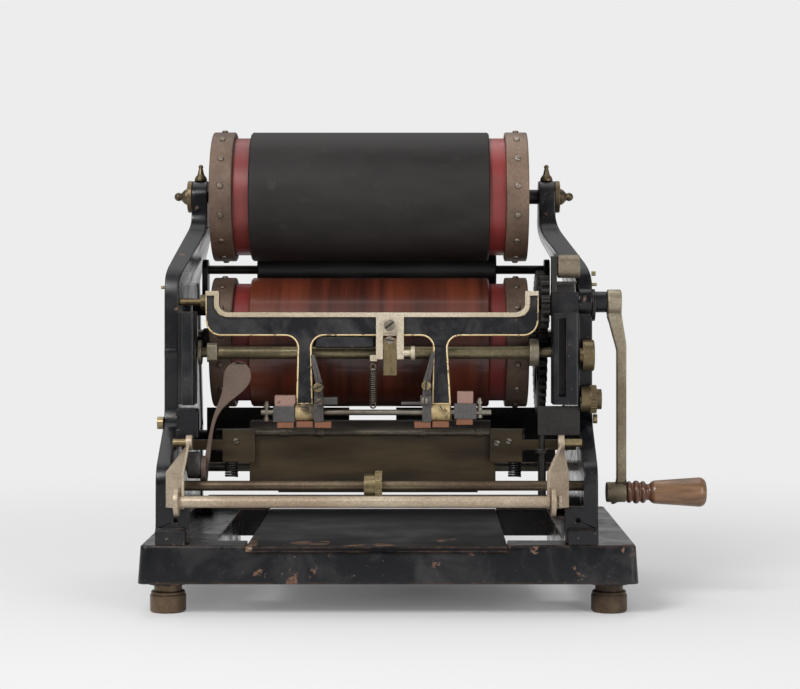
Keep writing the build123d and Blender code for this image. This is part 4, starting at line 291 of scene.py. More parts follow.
def japanned(name, chip_share, chip_scale=38.0, edge=0.0015, gloss=0.20, haze=0.5, worn_edge=0.9):
    """Black japan over cast iron, hazed and scratched, chipped to primer and rust."""
    material, tree, worn, skin = finish(name, edge_width=edge, chip_share=chip_share, chip_scale=chip_scale,
                                        grain_scale=220.0)
    here = put(tree, "ShaderNodeTexCoord").outputs["Object"]
    bare = blended(tree, ranged(tree, worn["Grain"], 0.35, 0.65), (0.200, 0.105, 0.062),
                   (0.070, 0.037, 0.025))
    lost = reckon(tree, reckon(tree, worn["Edge"], worn_edge), worn["Chips"], "MAXIMUM")
    cloud = noise(tree, here, 21.0, 7.0, 0.68, 0.5)
    black = blended(tree, ranged(tree, cloud, 0.46, 0.74, 0.0, haze), (0.0048, 0.0052, 0.0070),
                    (0.060, 0.057, 0.057))
    fleck = noise(tree, here, 240.0, 2.0)
    black = blended(tree, ranged(tree, fleck, 0.71, 0.76, 0.0, 0.6), black, (0.170, 0.125, 0.098))
    shine = ranged(tree, cloud, 0.35, 0.7, gloss, gloss + 0.25)
    dull = put(tree, "ShaderNodeMix", {"Factor": lost, "A": shine, "B": 0.68}, data_type="FLOAT")
    feed(tree, skin, blended(tree, lost, black, bare), dull.outputs["Result"])
    skin.inputs["Specular IOR Level"].default_value = 0.38
    raised = put(tree, "ShaderNodeMath", {0: lost, 1: -1.0, 2: worn["Grain"]}, operation="MULTIPLY_ADD")
    rough_with(tree, skin, worn, raised.outputs[0], 0.16, 0.0003)
    return material


DOUBLES = 0.00001
FLAT_WITHIN = radians(0.6)
SMOOTH_WITHIN = radians(28)
THROWN_SHARE = 0.45


def finished_copy(node, body, material, width=0.0007, segments=2, bend=32):
    """A merged copy of a CAD node with its edges rounded; it stands for the node.

    Points that the rounding throws further than a part of its width off the solid go back onto it.
    """
    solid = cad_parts[node]
    piece = bring_in(f"{node}_cast", solid.data.copy())
    bpy.ops.object.mode_set(mode="EDIT")
    bpy.ops.mesh.select_all(action="SELECT")
    bpy.ops.mesh.remove_doubles(threshold=DOUBLES)
    bpy.ops.mesh.dissolve_limited(angle_limit=FLAT_WITHIN)
    bpy.ops.mesh.quads_convert_to_tris(quad_method="BEAUTY", ngon_method="BEAUTY")
    bpy.ops.object.mode_set(mode="OBJECT")
    rounding = piece.modifiers.new("rounding", "BEVEL")
    rounding.limit_method = "ANGLE"
    rounding.angle_limit = radians(bend)
    rounding.width = width
    rounding.segments = segments
    rounding.use_clamp_overlap = False
    rounding.miter_outer = "MITER_ARC"
    bpy.ops.object.modifier_apply(modifier="rounding")
    faces = BVHTree.FromPolygons([v.co for v in solid.data.vertices],
                                 [f.vertices for f in solid.data.polygons])
    for point in piece.data.vertices:
        nearest, _, _, apart = faces.find_nearest(point.co)
        if apart > THROWN_SHARE * width:
            point.co = nearest
    bpy.ops.object.shade_smooth_by_angle(angle=SMOOTH_WITHIN)
    level = piece.modifiers.new("level", "WEIGHTED_NORMAL")
    level.keep_sharp = True
    bpy.ops.object.modifier_apply(modifier="level")
    piece.data.materials.clear()
    piece.data.materials.append(material)
    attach(piece, body)
    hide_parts(node)
    return piece


japan_base = japanned("japan_base", chip_share=0.375, chip_scale=36.0, gloss=0.16, edge=0.0036, haze=0.5,
                      worn_edge=1.0)
base = finished_copy("base_casting", "frame", japan_base, 0.0010)

# ---------------------------------------------------------------------------------------------
# Table plate: a loose iron plate let into the base, enamelled black. Paper and hands have worn it
# through to brown metal in ragged patches: along its left edge, in the middle of the front, and at
# two places further back.
# ---------------------------------------------------------------------------------------------
table_paint, tree, worn, skin = finish("worn_table", edge_width=0.0030, chip_scale=16.0, chip_share=0.262,
                                       grain_scale=260.0)
here = put(tree, "ShaderNodeTexCoord").outputs["Object"]
low_corner, high_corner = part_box("table_plate")
middle_x = (low_corner[0] + high_corner[0]) / 2
tear = noise(tree, here, 34.0, 7.0, 0.65)
rubbed = None
for patch_x, patch_y, reach_x, reach_y in (
    (middle_x - 0.004, low_corner[1] + 0.018, 0.030, 0.022),
    (middle_x - 0.062, low_corner[1] + 0.046, 0.022, 0.016),
    (middle_x + 0.072, low_corner[1] + 0.060, 0.016, 0.024),
    (low_corner[0] + 0.004, low_corner[1] + 0.045, 0.006, 0.060),
):
    away = put(tree, "ShaderNodeVectorMath", {0: here, 1: (patch_x, patch_y, high_corner[2])},
               operation="SUBTRACT")
    squeezed = put(tree, "ShaderNodeVectorMath", {0: away.outputs[0], 1: (1 / reach_x, 1 / reach_y, 0)},
                   operation="MULTIPLY")
    span = put(tree, "ShaderNodeVectorMath", {0: squeezed.outputs[0]}, operation="LENGTH")
    near = ranged(tree, span.outputs["Value"], 1.35, 0.2)
    rubbed = near if rubbed is None else reckon(tree, rubbed, near, "MAXIMUM")
ragged = reckon(tree, rubbed, ranged(tree, tear, 0.44, 0.60))
gone = put(tree, "ShaderNodeMath", {0: ragged, 1: 0.20}, operation="SUBTRACT").outputs[0]
gone = reckon(tree, gone, 9.0)
gone = reckon(tree, gone, reckon(tree, worn["Edge"], worn["Chips"], "MAXIMUM"), "MAXIMUM")
bare = blended(tree, ranged(tree, worn["Grain"], 0.35, 0.65), (0.27, 0.19, 0.14), (0.115, 0.066, 0.044))
scuffed = blended(tree, ranged(tree, worn["Dirt"], 0.45, 0.7, 0.0, 0.6), (0.0085, 0.0085, 0.010),
                  (0.030, 0.027, 0.026))
shine = ranged(tree, worn["Dirt"], 0.3, 0.7, 0.24, 0.50)
skin.inputs["Specular IOR Level"].default_value = 0.02
dull = put(tree, "ShaderNodeMix", {"Factor": gone, "A": shine, "B": 0.62}, data_type="FLOAT")
feed(tree, skin, blended(tree, gone, scuffed, bare), dull.outputs["Result"])
rough_with(tree, skin, worn, worn["Grain"], 0.12, 0.0003)
plate = finished_copy("table_plate", "frame", table_paint, 0.0006)

# ---------------------------------------------------------------------------------------------
# Side frames: two iron castings that step outwards below the upper drum, ribbed round the edge,
# on plinths that are bolted to the base. Black japan, rubbed to brown on the ribs.
# ---------------------------------------------------------------------------------------------
japan_frames = japanned("japan_frames", chip_share=0.32, chip_scale=50.0, gloss=0.13, edge=0.0018, haze=0.22,
                        worn_edge=0.8)
for node in ("left_side_frame", "right_side_frame"):
    finished_copy(node, "frame", japan_frames, 0.0012, segments=3)

# ---------------------------------------------------------------------------------------------
# Bolts and stays between the frames: turned steel, dull grey, oiled.
# ---------------------------------------------------------------------------------------------
shaft_steel = metal("shaft_steel", (0.34, 0.315, 0.27), (0.13, 0.105, 0.078), (0.5, 0.46, 0.4),
                    roughness=0.34)
screw_steel = metal("screw_steel", (0.30, 0.265, 0.22), (0.12, 0.088, 0.062), (0.46, 0.42, 0.36),
                    roughness=0.4, metallic=0.8)
paint(screw_steel, "frame_bolts")
paint(shaft_steel, "rear_stays")

# ---------------------------------------------------------------------------------------------
# Caps, oil cups, bushes and studs on the frames: brass, turned, with an olive-brown tarnish and
# bright edges. Caps close the upper bearings; the cups are screwed into the heads of the posts.
# ---------------------------------------------------------------------------------------------
aged_brass = metal("aged_brass", (0.36, 0.285, 0.155), (0.135, 0.100, 0.052), (0.62, 0.50, 0.30),
                   roughness=0.34)
dark_brass = metal("dark_brass", (0.20, 0.150, 0.080), (0.070, 0.052, 0.034), (0.46, 0.37, 0.22),
                   roughness=0.38, metallic=0.8)
paint(dark_brass, "drum_end_caps", "oil_cups")
paint(aged_brass, "lower_shaft_bushes", "frame_studs")

# ---------------------------------------------------------------------------------------------
# Brackets, bearing and the guide bars bolted to the frames: iron, black japan, oily.
# ---------------------------------------------------------------------------------------------
japan_small = japanned("japan_small", chip_share=0.235, chip_scale=70.0, gloss=0.24, edge=0.0009,
                       worn_edge=0.8)
for node, width in (("ink_roller_brackets", 0.0007), ("crank_bearing", 0.0003), ("left_guide_bar", 0.0007),
                    ("left_bracket", 0.0006), ("slotted_guide", 0.0005)):
    finished_copy(node, "frame", japan_small, width)

# ---------------------------------------------------------------------------------------------
# Drums: the upper cylinder carries a matte black cover, the lower one a red-brown lacquer with
# streaks round it. Both have red bands, and bronze rims held by dome screws. Shafts are dark iron,
# coloured darker still as painted shade.
# ---------------------------------------------------------------------------------------------
charcoal, tree, worn, skin = finish("drum_charcoal", edge_width=0.0010, chip_scale=12.0, chip_share=0.20,
                                    grain_scale=900.0)
here = put(tree, "ShaderNodeTexCoord").outputs["Object"]
along = put(tree, "ShaderNodeMapping", {"Vector": here, "Scale": (5.0, 12.0, 12.0)})
smudge = noise(tree, along.outputs[0], 1.6, 6.0, 0.6)
cloudy = blended(tree, ranged(tree, smudge, 0.36, 0.66), (0.0085, 0.0075, 0.0070), (0.0240, 0.0205, 0.0195))
rub = noise(tree, here, 60.0, 8.0, 0.7)
cloudy = blended(tree, ranged(tree, rub, 0.60, 0.78, 0.0, 0.5), cloudy, (0.062, 0.056, 0.052))
cloudy = blended(tree, reckon(tree, worn["Edge"], 0.5), cloudy, (0.10, 0.085, 0.075))
feed(tree, skin, cloudy, ranged(tree, smudge, 0.3, 0.7, 0.50, 0.66))
skin.inputs["Specular IOR Level"].default_value = 0.26
rough_with(tree, skin, worn, worn["Grain"], 0.18, 0.0002)
paint(charcoal, "upper_drum_cylinder")

lacquer, tree, worn, skin = finish("drum_redbrown", edge_width=0.0010, chip_scale=30.0, chip_share=0.22,
                                   grain_scale=500.0, coat=0.35)
here = put(tree, "ShaderNodeTexCoord").outputs["Object"]
turns = put(tree, "ShaderNodeMapping", {"Vector": here, "Scale": (70.0, 1.6, 1.6)})
streak = noise(tree, turns.outputs[0], 1.0, 5.0, 0.62)
broad = put(tree, "ShaderNodeMapping", {"Vector": here, "Scale": (14.0, 2.5, 2.5)})
bloom = noise(tree, broad.outputs[0], 1.0, 3.0)
wet = blended(tree, ranged(tree, streak, 0.34, 0.66), (0.022, 0.0070, 0.0050), (0.110, 0.022, 0.0105))
wet = blended(tree, ranged(tree, bloom, 0.46, 0.68, 0.0, 0.75), wet, (0.165, 0.036, 0.013))
feed(tree, skin, wet, ranged(tree, streak, 0.3, 0.7, 0.30, 0.46))
rough_with(tree, skin, worn, streak, 0.10, 0.0003)
paint(lacquer, "lower_drum_cylinder")

red_lacquer, tree, worn, skin = finish("red_lacquer", edge_width=0.0012, chip_scale=26.0, chip_share=0.265,
                                       grain_scale=320.0)
aged = blended(tree, ranged(tree, worn["Dirt"], 0.35, 0.65), (0.255, 0.030, 0.026), (0.120, 0.020, 0.017))
aged = blended(tree, reckon(tree, worn["Chips"], 0.8), aged, (0.075, 0.020, 0.015))
feed(tree, skin, aged, ranged(tree, worn["Dirt"], 0.3, 0.7, 0.30, 0.48))
rough_with(tree, skin, worn, worn["Grain"], 0.16, 0.0003)
paint(red_lacquer, "upper_drum_bands", "lower_drum_bands")

rim_bronze = metal("rim_bronze", (0.200, 0.132, 0.092), (0.092, 0.058, 0.041), (0.34, 0.25, 0.18),
                   roughness=0.50, metallic=0.35, grain_scale=420.0, edge_width=0.0012, chip_share=0.255,
                   chip_scale=42.0)
paint(rim_bronze, "upper_left_rim", "upper_right_rim", "lower_left_rim", "lower_right_rim")
paint(screw_steel, "upper_rim_screws", "lower_rim_screws")
# dark iron, coloured darker still as painted shade; it goes on the gear, the shafts and other dark fittings
gear_iron = metal("gear_iron", (0.034, 0.031, 0.029), (0.016, 0.014, 0.013), (0.15, 0.135, 0.12),
                  roughness=0.45, metallic=0.6)
paint(gear_iron, "drum_gear", "crank_pinion", "upper_drum_shaft", "lower_drum_shaft")

# ---------------------------------------------------------------------------------------------
# Ink roller behind the drums: black composition cast on a dark steel shaft (coloured darker still as
# painted shade), smeared with ink that has dried. It runs in brackets on the side frames.
# ---------------------------------------------------------------------------------------------
ink, tree, worn, skin = finish("ink_rubber", edge_width=0.0008, chip_scale=18.0, chip_share=0.2,
                               grain_scale=600.0)
tone = blended(tree, ranged(tree, worn["Dirt"], 0.35, 0.65), (0.0075, 0.0072, 0.0075), (0.020, 0.017, 0.016))
feed(tree, skin, tone, ranged(tree, worn["Dirt"], 0.3, 0.7, 0.30, 0.55))
rough_with(tree, skin, worn, worn["Grain"], 0.12, 0.0002)
paint(ink, "ink_roller")
paint(gear_iron, "ink_roller_shaft")

# ---------------------------------------------------------------------------------------------
# Crank: a flat forged arm pinned to the shaft, once nickelled and now a speckled olive tan, and a
# turned grip of varnished beech on a steel spindle, its beads stained darker.
# ---------------------------------------------------------------------------------------------
worn_nickel = metal("worn_nickel", (0.42, 0.385, 0.305), (0.215, 0.185, 0.128), (0.60, 0.56, 0.47),
                    roughness=0.36, metallic=0.75, grain_scale=520.0, chip_share=0.285, chip_scale=95.0)
arm_nickel = metal("arm_nickel", (0.33, 0.285, 0.205), (0.170, 0.135, 0.088), (0.52, 0.47, 0.37),
                   roughness=0.40, metallic=0.65, grain_scale=520.0, chip_share=0.295, chip_scale=110.0)
finished_copy("crank_arm", "crank", arm_nickel, 0.0014, segments=3, bend=60)
paint(gear_iron, "crank_shaft")
paint(shaft_steel, "grip_spindle")

BEADS_END = 0.0255
GRAIN_ACROSS = 90.0
grip_low, grip_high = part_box("crank_grip")
grip_y = (grip_low[1] + grip_high[1]) / 2
grip_z = (grip_low[2] + grip_high[2]) / 2
beech, tree, worn, skin = finish("grip_wood", edge_width=0.0006, chip_scale=70.0, chip_share=0.25,
                                 grain_scale=700.0, coat=0.25)
here = put(tree, "ShaderNodeTexCoord").outputs["Object"]
fibres = put(tree, "ShaderNodeMapping", {"Vector": here, "Scale": (14.0, GRAIN_ACROSS, GRAIN_ACROSS),
                                         "Location": (0, -grip_y * GRAIN_ACROSS, -grip_z * GRAIN_ACROSS)})
veins = noise(tree, fibres.outputs[0], 1.5, 7.0, 0.6, 0.4)
wood = blended(tree, ranged(tree, veins, 0.34, 0.66), (0.085, 0.040, 0.018), (0.245, 0.130, 0.062))
rings = put(tree, "ShaderNodeSeparateXYZ", {"Vector": here}).outputs["X"]
stained = ranged(tree, rings, grip_low[0] + BEADS_END + 0.003, grip_low[0] + BEADS_END - 0.003)
wood = blended(tree, reckon(tree, stained, 0.82), wood, (0.070, 0.020, 0.010))
wood = blended(tree, reckon(tree, worn["Chips"], 0.5), wood, (0.045, 0.018, 0.010))
feed(tree, skin, wood, ranged(tree, veins, 0.3, 0.7, 0.42, 0.30))
rough_with(tree, skin, worn, veins, 0.16, 0.0004)
paint(beech, "crank_grip")

# ---------------------------------------------------------------------------------------------
# Feed rock shaft: a brass tube over a steel shaft, with a square clamp and cam disc on the left and
# a turned hub on the right.
# ---------------------------------------------------------------------------------------------
feed_brass = metal("feed_brass", (0.255, 0.215, 0.125), (0.125, 0.102, 0.060), (0.48, 0.42, 0.28),
                   roughness=0.33, metallic=0.8)
paint(feed_brass, "feed_shaft")
paint(worn_nickel, "feed_shaft_fittings")

# ---------------------------------------------------------------------------------------------
# Feed carriage: an iron casting on two ears, black japan in front with a gold line round its edges
# that is crusted on the feet of the legs, and a bare nickelled flange along its top.
# ---------------------------------------------------------------------------------------------
CASTING_FRONT = -0.0915
EDGE_CUT = 0.0008
LINE_WIDTH = 0.0008
LINE_PROUD = 0.00006
FLANGE_BAND = 0.0275
FLANGE_FOOT = 0.0255
EAR_TOP_BAND = 0.0060
CRUST_RISE = 0.0085
NEAR = 0.00005
NICKEL_SLOT, GOLD_SLOT, CRUST_SLOT = 1, 2, 3
carriage_black = japanned("carriage_black", chip_share=0.30, chip_scale=85.0, gloss=0.20, edge=0.0007,
                          haze=0.9, worn_edge=0.6)
carriage = finished_copy("feed_carriage", "feed_carriage", carriage_black, 0.0003)
flange_nickel = metal("flange_nickel", (0.70, 0.61, 0.47), (0.46, 0.385, 0.27), (0.84, 0.76, 0.62),
                      roughness=0.38, metallic=0.45, grain_scale=520.0, chip_share=0.275, chip_scale=90.0)
gold_size, tree, worn, skin = finish("gold_size", edge_width=0.0003, chip_scale=150.0, chip_share=0.40,
                                     grain_scale=900.0)
faded = blended(tree, ranged(tree, worn["Dirt"], 0.4, 0.65), (0.80, 0.62, 0.34), (0.58, 0.42, 0.21))
faded = blended(tree, reckon(tree, worn["Chips"], 0.8), faded, (0.06, 0.042, 0.025))
feed(tree, skin, faded, 0.5)
carriage.data.materials.append(flange_nickel)
carriage.data.materials.append(gold_size)
crusted = metal("crusted_gold", (0.50, 0.38, 0.19), (0.055, 0.040, 0.028), (0.65, 0.52, 0.30), roughness=0.5,
                metallic=0.3, chip_share=0.42, chip_scale=300.0, tarnish_low=0.47, tarnish_high=0.53)
carriage.data.materials.append(crusted)
carriage_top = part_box("feed_carriage")[1][2]
rod_low, rod_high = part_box("feed_rod")
for face in carriage.data.polygons:
    centre, normal = face.center, face.normal
    if centre.z > carriage_top - FLANGE_BAND and (centre.y < CASTING_FRONT - 0.0003 or normal.z > 0.6):
        face.material_index = NICKEL_SLOT
    elif CASTING_FRONT + NEAR < centre.y < CASTING_FRONT + EDGE_CUT and -0.97 < normal.y < -0.2:
        face.material_index = GOLD_SLOT
    elif centre.z < rod_high[2] + CRUST_RISE and centre.x > rod_low[0]:
        face.material_index = CRUST_SLOT

# the gold line's inner half, a thin band on the face just inside the cut edge
lines = bring_in("carriage_gold_line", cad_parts["feed_carriage"].data.copy())
bpy.ops.object.mode_set(mode="EDIT")
bpy.ops.mesh.select_all(action="SELECT")
bpy.ops.mesh.remove_doubles(threshold=DOUBLES)
bpy.ops.mesh.select_all(action="DESELECT")
shape = bmesh.from_edit_mesh(lines.data)
shape.normal_update()
for face in shape.faces:
    flat = all(abs(v.co.y - CASTING_FRONT) < NEAR for v in face.verts)
    face.select = not (flat and face.normal.y < -0.9)
bmesh.update_edit_mesh(lines.data)
bpy.ops.mesh.delete(type="FACE")
bpy.ops.mesh.select_all(action="SELECT")
bpy.ops.mesh.dissolve_limited(angle_limit=radians(1))
bpy.ops.mesh.inset(thickness=LINE_WIDTH, use_boundary=True)
bpy.ops.mesh.delete(type="FACE")
bpy.ops.mesh.select_all(action="SELECT")
bpy.ops.transform.translate(value=(0, -LINE_PROUD, 0))
shape = bmesh.from_edit_mesh(lines.data)
bpy.ops.mesh.select_all(action="DESELECT")
for face in shape.faces:
    below = carriage_top - face.calc_center_median().z
    face.select = abs(below - FLANGE_FOOT) < 1.5 * LINE_WIDTH or below < EAR_TOP_BAND
bmesh.update_edit_mesh(lines.data)
bpy.ops.mesh.delete(type="FACE")
bpy.ops.object.mode_set(mode="OBJECT")
lines.data.materials.clear()
lines.data.materials.append(gold_size)
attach(lines, "feed_carriage")

# ---------------------------------------------------------------------------------------------
# Centre bracket: a forked nickelled plate screwed to the flange, with a brass slider between its
# tines and a small spool knob.
# ---------------------------------------------------------------------------------------------
SLIDER_MIDDLE = 0.0030
SLIDER_HALF = 0.0069
SLIDER_HEIGHT = 0.0400
SLIDER_DEPTH = 0.012
bracket = finished_copy("centre_bracket", "feed_carriage", flange_nickel, 0.0004)
bracket.data.materials.append(aged_brass)
fork_low, fork_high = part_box("centre_bracket")
fork_x = (fork_low[0] + fork_high[0]) / 2 - SLIDER_MIDDLE
for face in bracket.data.polygons:
    inside = abs(face.center.x - fork_x) < SLIDER_HALF and face.center.y < fork_low[1] + SLIDER_DEPTH
    if inside and face.center.z < fork_low[2] + SLIDER_HEIGHT:
        face.material_index = 1

# ---------------------------------------------------------------------------------------------
# Stop bar: a short black iron bar in the carriage's left arch, its edges filed round. It stands
# just behind the front of the casting, clear of the feed shaft.
# ---------------------------------------------------------------------------------------------
BAR_SIZE = (0.060, 0.006, 0.0125)
BAR_LEFT = 0.0250
BAR_BACK = 0.0055
BAR_UP = 0.0330
BAR_ROUND = 0.0026
deselect()
bpy.ops.mesh.primitive_cube_add(size=1, location=(0, 0, 0))
bar = bpy.context.object
bar.name = "carriage_stop_bar"
bar.data.transform(Matrix.Diagonal((*BAR_SIZE, 1)))
bar.data.transform(Matrix.Translation((fork_low[0] - BAR_LEFT, CASTING_FRONT + BAR_BACK,
                                       fork_low[2] + BAR_UP)))
round_over = bar.modifiers.new("round_over", "BEVEL")
round_over.width = BAR_ROUND
round_over.segments = 4
bpy.ops.object.modifier_apply(modifier="round_over")
bpy.ops.object.shade_smooth_by_angle(angle=radians(50))
bar.data.materials.append(japan_small)
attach(bar, "feed_carriage")

# ---------------------------------------------------------------------------------------------
# Two screws of the centre bracket: round heads of turned steel, slotted, the slots coloured near black.
# The other screws of the machine's front come from the same helper.
# ---------------------------------------------------------------------------------------------
# near-black colour for the inside of the screw slots
slot_black = metal("slot_grime", (0.010, 0.008, 0.007), (0.006, 0.005, 0.005), (0.05, 0.04, 0.03), roughness=0.7,
              metallic=0.0)
SLOT_HALF = 0.17
SLOT_EDGE = 0.01
SLOT_DEPTH = 0.6
HEAD_ROUND = 0.16


def slotted_screw(name, place, toward, radius, height, body, material, turn=0.6):
    """A round screw head with a cut slot: place is the middle of its seat, toward is its axis."""
    deselect()
    bpy.ops.mesh.primitive_cylinder_add(vertices=28, radius=radius, depth=height, location=(0, 0, height / 2))
    head = bpy.context.object
    head.name = name
    bpy.ops.object.transform_apply(location=True, rotation=True, scale=True)
    bpy.ops.object.mode_set(mode="EDIT")
    for side in (-1, 1):
        bpy.ops.mesh.select_all(action="SELECT")
        bpy.ops.mesh.bisect(plane_co=(side * radius * SLOT_HALF, 0, 0), plane_no=(1, 0, 0))
    bpy.ops.mesh.select_all(action="DESELECT")
    shape = bmesh.from_edit_mesh(head.data)
    for face in shape.faces:
        middle = face.calc_center_median()
        face.select = face.normal.z > 0.9 and abs(middle.x) < radius * (SLOT_HALF - SLOT_EDGE)
    bmesh.update_edit_mesh(head.data)
    bpy.ops.mesh.extrude_region_move(TRANSFORM_OT_translate={"value": (0, 0, -height * SLOT_DEPTH)})
    bpy.ops.object.mode_set(mode="OBJECT")
    head.data.materials.append(material)
    head.data.materials.append(slot_black)
    for face in head.data.polygons:
        inside = abs(face.center.x) < radius * (SLOT_HALF + SLOT_EDGE) and abs(face.center.y) < radius * 0.9
        face.material_index = 1 if inside and face.center.z > height * 0.3 else 0
    soft = head.modifiers.new("soft", "BEVEL")
    soft.width = min(radius, height) * HEAD_ROUND
    soft.segments = 2
    soft.limit_method = "ANGLE"
    soft.angle_limit = radians(40)
    bpy.ops.object.modifier_apply(modifier="soft")
    aim = Vector(toward).to_track_quat("Z", "Y").to_matrix().to_4x4()
    head.data.transform(Matrix.Translation(place) @ aim @ Matrix.Rotation(turn, 4, "Z"))
    bpy.ops.object.shade_smooth_by_angle(angle=radians(35))
    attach(head, body)


FRONT = (0, -1, 0)
slotted_screw("bracket_screw", (fork_x + 0.0002, fork_low[1] + 0.0002, fork_high[2] - 0.0120), FRONT,
              0.0056, 0.0026, "feed_carriage", screw_steel, 2.2)
slotted_screw("bracket_lower_screw", (fork_x + 0.0004, fork_low[1] + 0.0018, fork_low[2] + 0.0350), FRONT,
              0.0040, 0.0026, "feed_carriage", screw_steel, 1.4)

# ---------------------------------------------------------------------------------------------
# Tension spring under the centre bracket: wound steel wire with an eye at each end, darkened, and
# paler where the turns rub.
# ---------------------------------------------------------------------------------------------
STEPS_PER_TURN = 20
CLOSED_END = 0.04
SPRING_WIRE = 0.0008
SPRING_RADIUS = 0.0034
SPRING_TURNS = 18
SPRING_START = 0.0065
SPRING_STOP = 0.0075
EYE_RADIUS = 0.0026
UPPER_EYE = 0.0052
LOWER_EYE = 0.0042


def wire_coil(name, centre, low, high, coil_radius, wire, turns, body, material):
    """A helical spring standing on a vertical line, with closed ends."""
    steps = turns * STEPS_PER_TURN
    bone = bpy.data.curves.new(name, "CURVE")
    bone.dimensions = "3D"
    bone.bevel_depth = wire
    bone.bevel_resolution = 2
    path = bone.splines.new("POLY")
    path.points.add(steps)
    for n, point in enumerate(path.points):
        share = n / steps
        eased = low + (high - low) * min(max((share - CLOSED_END) / (1 - 2 * CLOSED_END), 0), 1)
        angle = 2 * pi * turns * share
        point.co = (centre[0] + coil_radius * cos(angle), centre[1] + coil_radius * sin(angle), eased, 1)
    bring_in(name, bone)
    bpy.ops.object.convert(target="MESH")
    coil = bpy.context.object
    bpy.ops.object.shade_smooth()
    coil.data.materials.append(material)
    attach(coil, body)
    return coil


spring_steel = metal("spring_steel", (0.20, 0.175, 0.14), (0.095, 0.075, 0.055), (0.42, 0.38, 0.32),
                     roughness=0.34)
spring_low, spring_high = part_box("carriage_spring")
spring_x = (spring_low[0] + spring_high[0]) / 2
spring_y = (spring_low[1] + spring_high[1]) / 2
coil = wire_coil("carriage_spring_coil", (spring_x, spring_y), spring_low[2] + SPRING_START,
                 spring_high[2] - SPRING_STOP, SPRING_RADIUS, SPRING_WIRE, SPRING_TURNS, "feed_carriage",
                 spring_steel)
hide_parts("carriage_spring")
for tag, hook_z in (("upper", spring_high[2] - UPPER_EYE), ("lower", spring_low[2] + LOWER_EYE)):
    deselect()
    bpy.ops.mesh.primitive_torus_add(major_radius=EYE_RADIUS, minor_radius=SPRING_WIRE, major_segments=28,
                                     minor_segments=8, location=(spring_x, spring_y, hook_z),
                                     rotation=(radians(90), 0, 0))
    hook = bpy.context.object
    hook.name = f"carriage_spring_{tag}_eye"
    bpy.ops.object.transform_apply(location=True, rotation=True, scale=True)
    bpy.ops.object.shade_smooth()
    hook.data.materials.append(spring_steel)
    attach(hook, "feed_carriage")

# ---------------------------------------------------------------------------------------------
# Feed rod, clamps and fingers: steel rod, grey iron clamps, each held by a screw, and blocks of
# perished pink and orange rubber that grip the sheet.
# ---------------------------------------------------------------------------------------------
LEFT_FOOT_INSET = 0.0430
RIGHT_FOOT_INSET = 0.0505
SCREW_FORWARD = 0.0098
SCREW_HEIGHT = 0.0028
STACK_RADIUS = 0.0032
STACK_HEIGHT = 0.020
STACK_BELOW_TOP = 0.017
STACK_CUTS = 5
STACK_NECK = 0.0011
RING_STEP = 0.0034
block_iron = metal("block_iron", (0.105, 0.100, 0.098), (0.060, 0.054, 0.050), (0.30, 0.28, 0.25),
                   roughness=0.46, metallic=0.45, chip_share=0.31, chip_scale=120.0)
paint(shaft_steel, "feed_rod")
finished_copy("feed_blocks", "feed_carriage", block_iron, 0.0005)
pink_rubber, tree, worn, skin = finish("pink_rubber", edge_width=0.0008, chip_scale=120.0, chip_share=0.34,
                                       grain_scale=700.0)
here = put(tree, "ShaderNodeTexCoord").outputs["Object"]
height = put(tree, "ShaderNodeSeparateXYZ", {"Vector": here}).outputs["Z"]
rod_z = (rod_low[2] + rod_high[2]) / 2
pinker = ranged(tree, height, rod_z - 0.002, rod_z + 0.002)
tone = blended(tree, pinker, (0.200, 0.078, 0.036), (0.300, 0.185, 0.150))
tone = blended(tree, ranged(tree, worn["Grain"], 0.35, 0.7, 0.0, 0.55), tone, (0.130, 0.055, 0.038))
tone = blended(tree, reckon(tree, worn["Chips"], 0.7), tone, (0.07, 0.035, 0.025))
feed(tree, skin, tone, 0.75)
rough_with(tree, skin, worn, worn["Grain"], 0.35, 0.0005)
finished_copy("feed_rubbers", "feed_carriage", pink_rubber, 0.0007)
rod_y = (rod_low[1] + rod_high[1]) / 2
left_foot_x = rod_low[0] + LEFT_FOOT_INSET
right_foot_x = rod_high[0] - RIGHT_FOOT_INSET
for name, x, z, radius, material in (
    ("left_foot_screw", left_foot_x, rod_z + 0.0060, 0.0036, crusted),
    ("left_finger_screw", left_foot_x + 0.0135, rod_z + 0.0250, 0.0046, aged_brass),
    ("left_clamp_screw", left_foot_x + 0.0150, rod_z + 0.0110, 0.0034, screw_steel),
    ("right_finger_screw", right_foot_x - 0.0140, rod_z + 0.0270, 0.0046, aged_brass),
    ("right_clamp_screw", right_foot_x - 0.0155, rod_z + 0.0122, 0.0034, screw_steel),
    ("right_foot_screw", right_foot_x + 0.0010, rod_z + 0.0050, 0.0032, crusted),
):
    slotted_screw(name, (x, rod_y - SCREW_FORWARD, z), FRONT, radius, SCREW_HEIGHT, "feed_carriage", material,
                  x * 40)

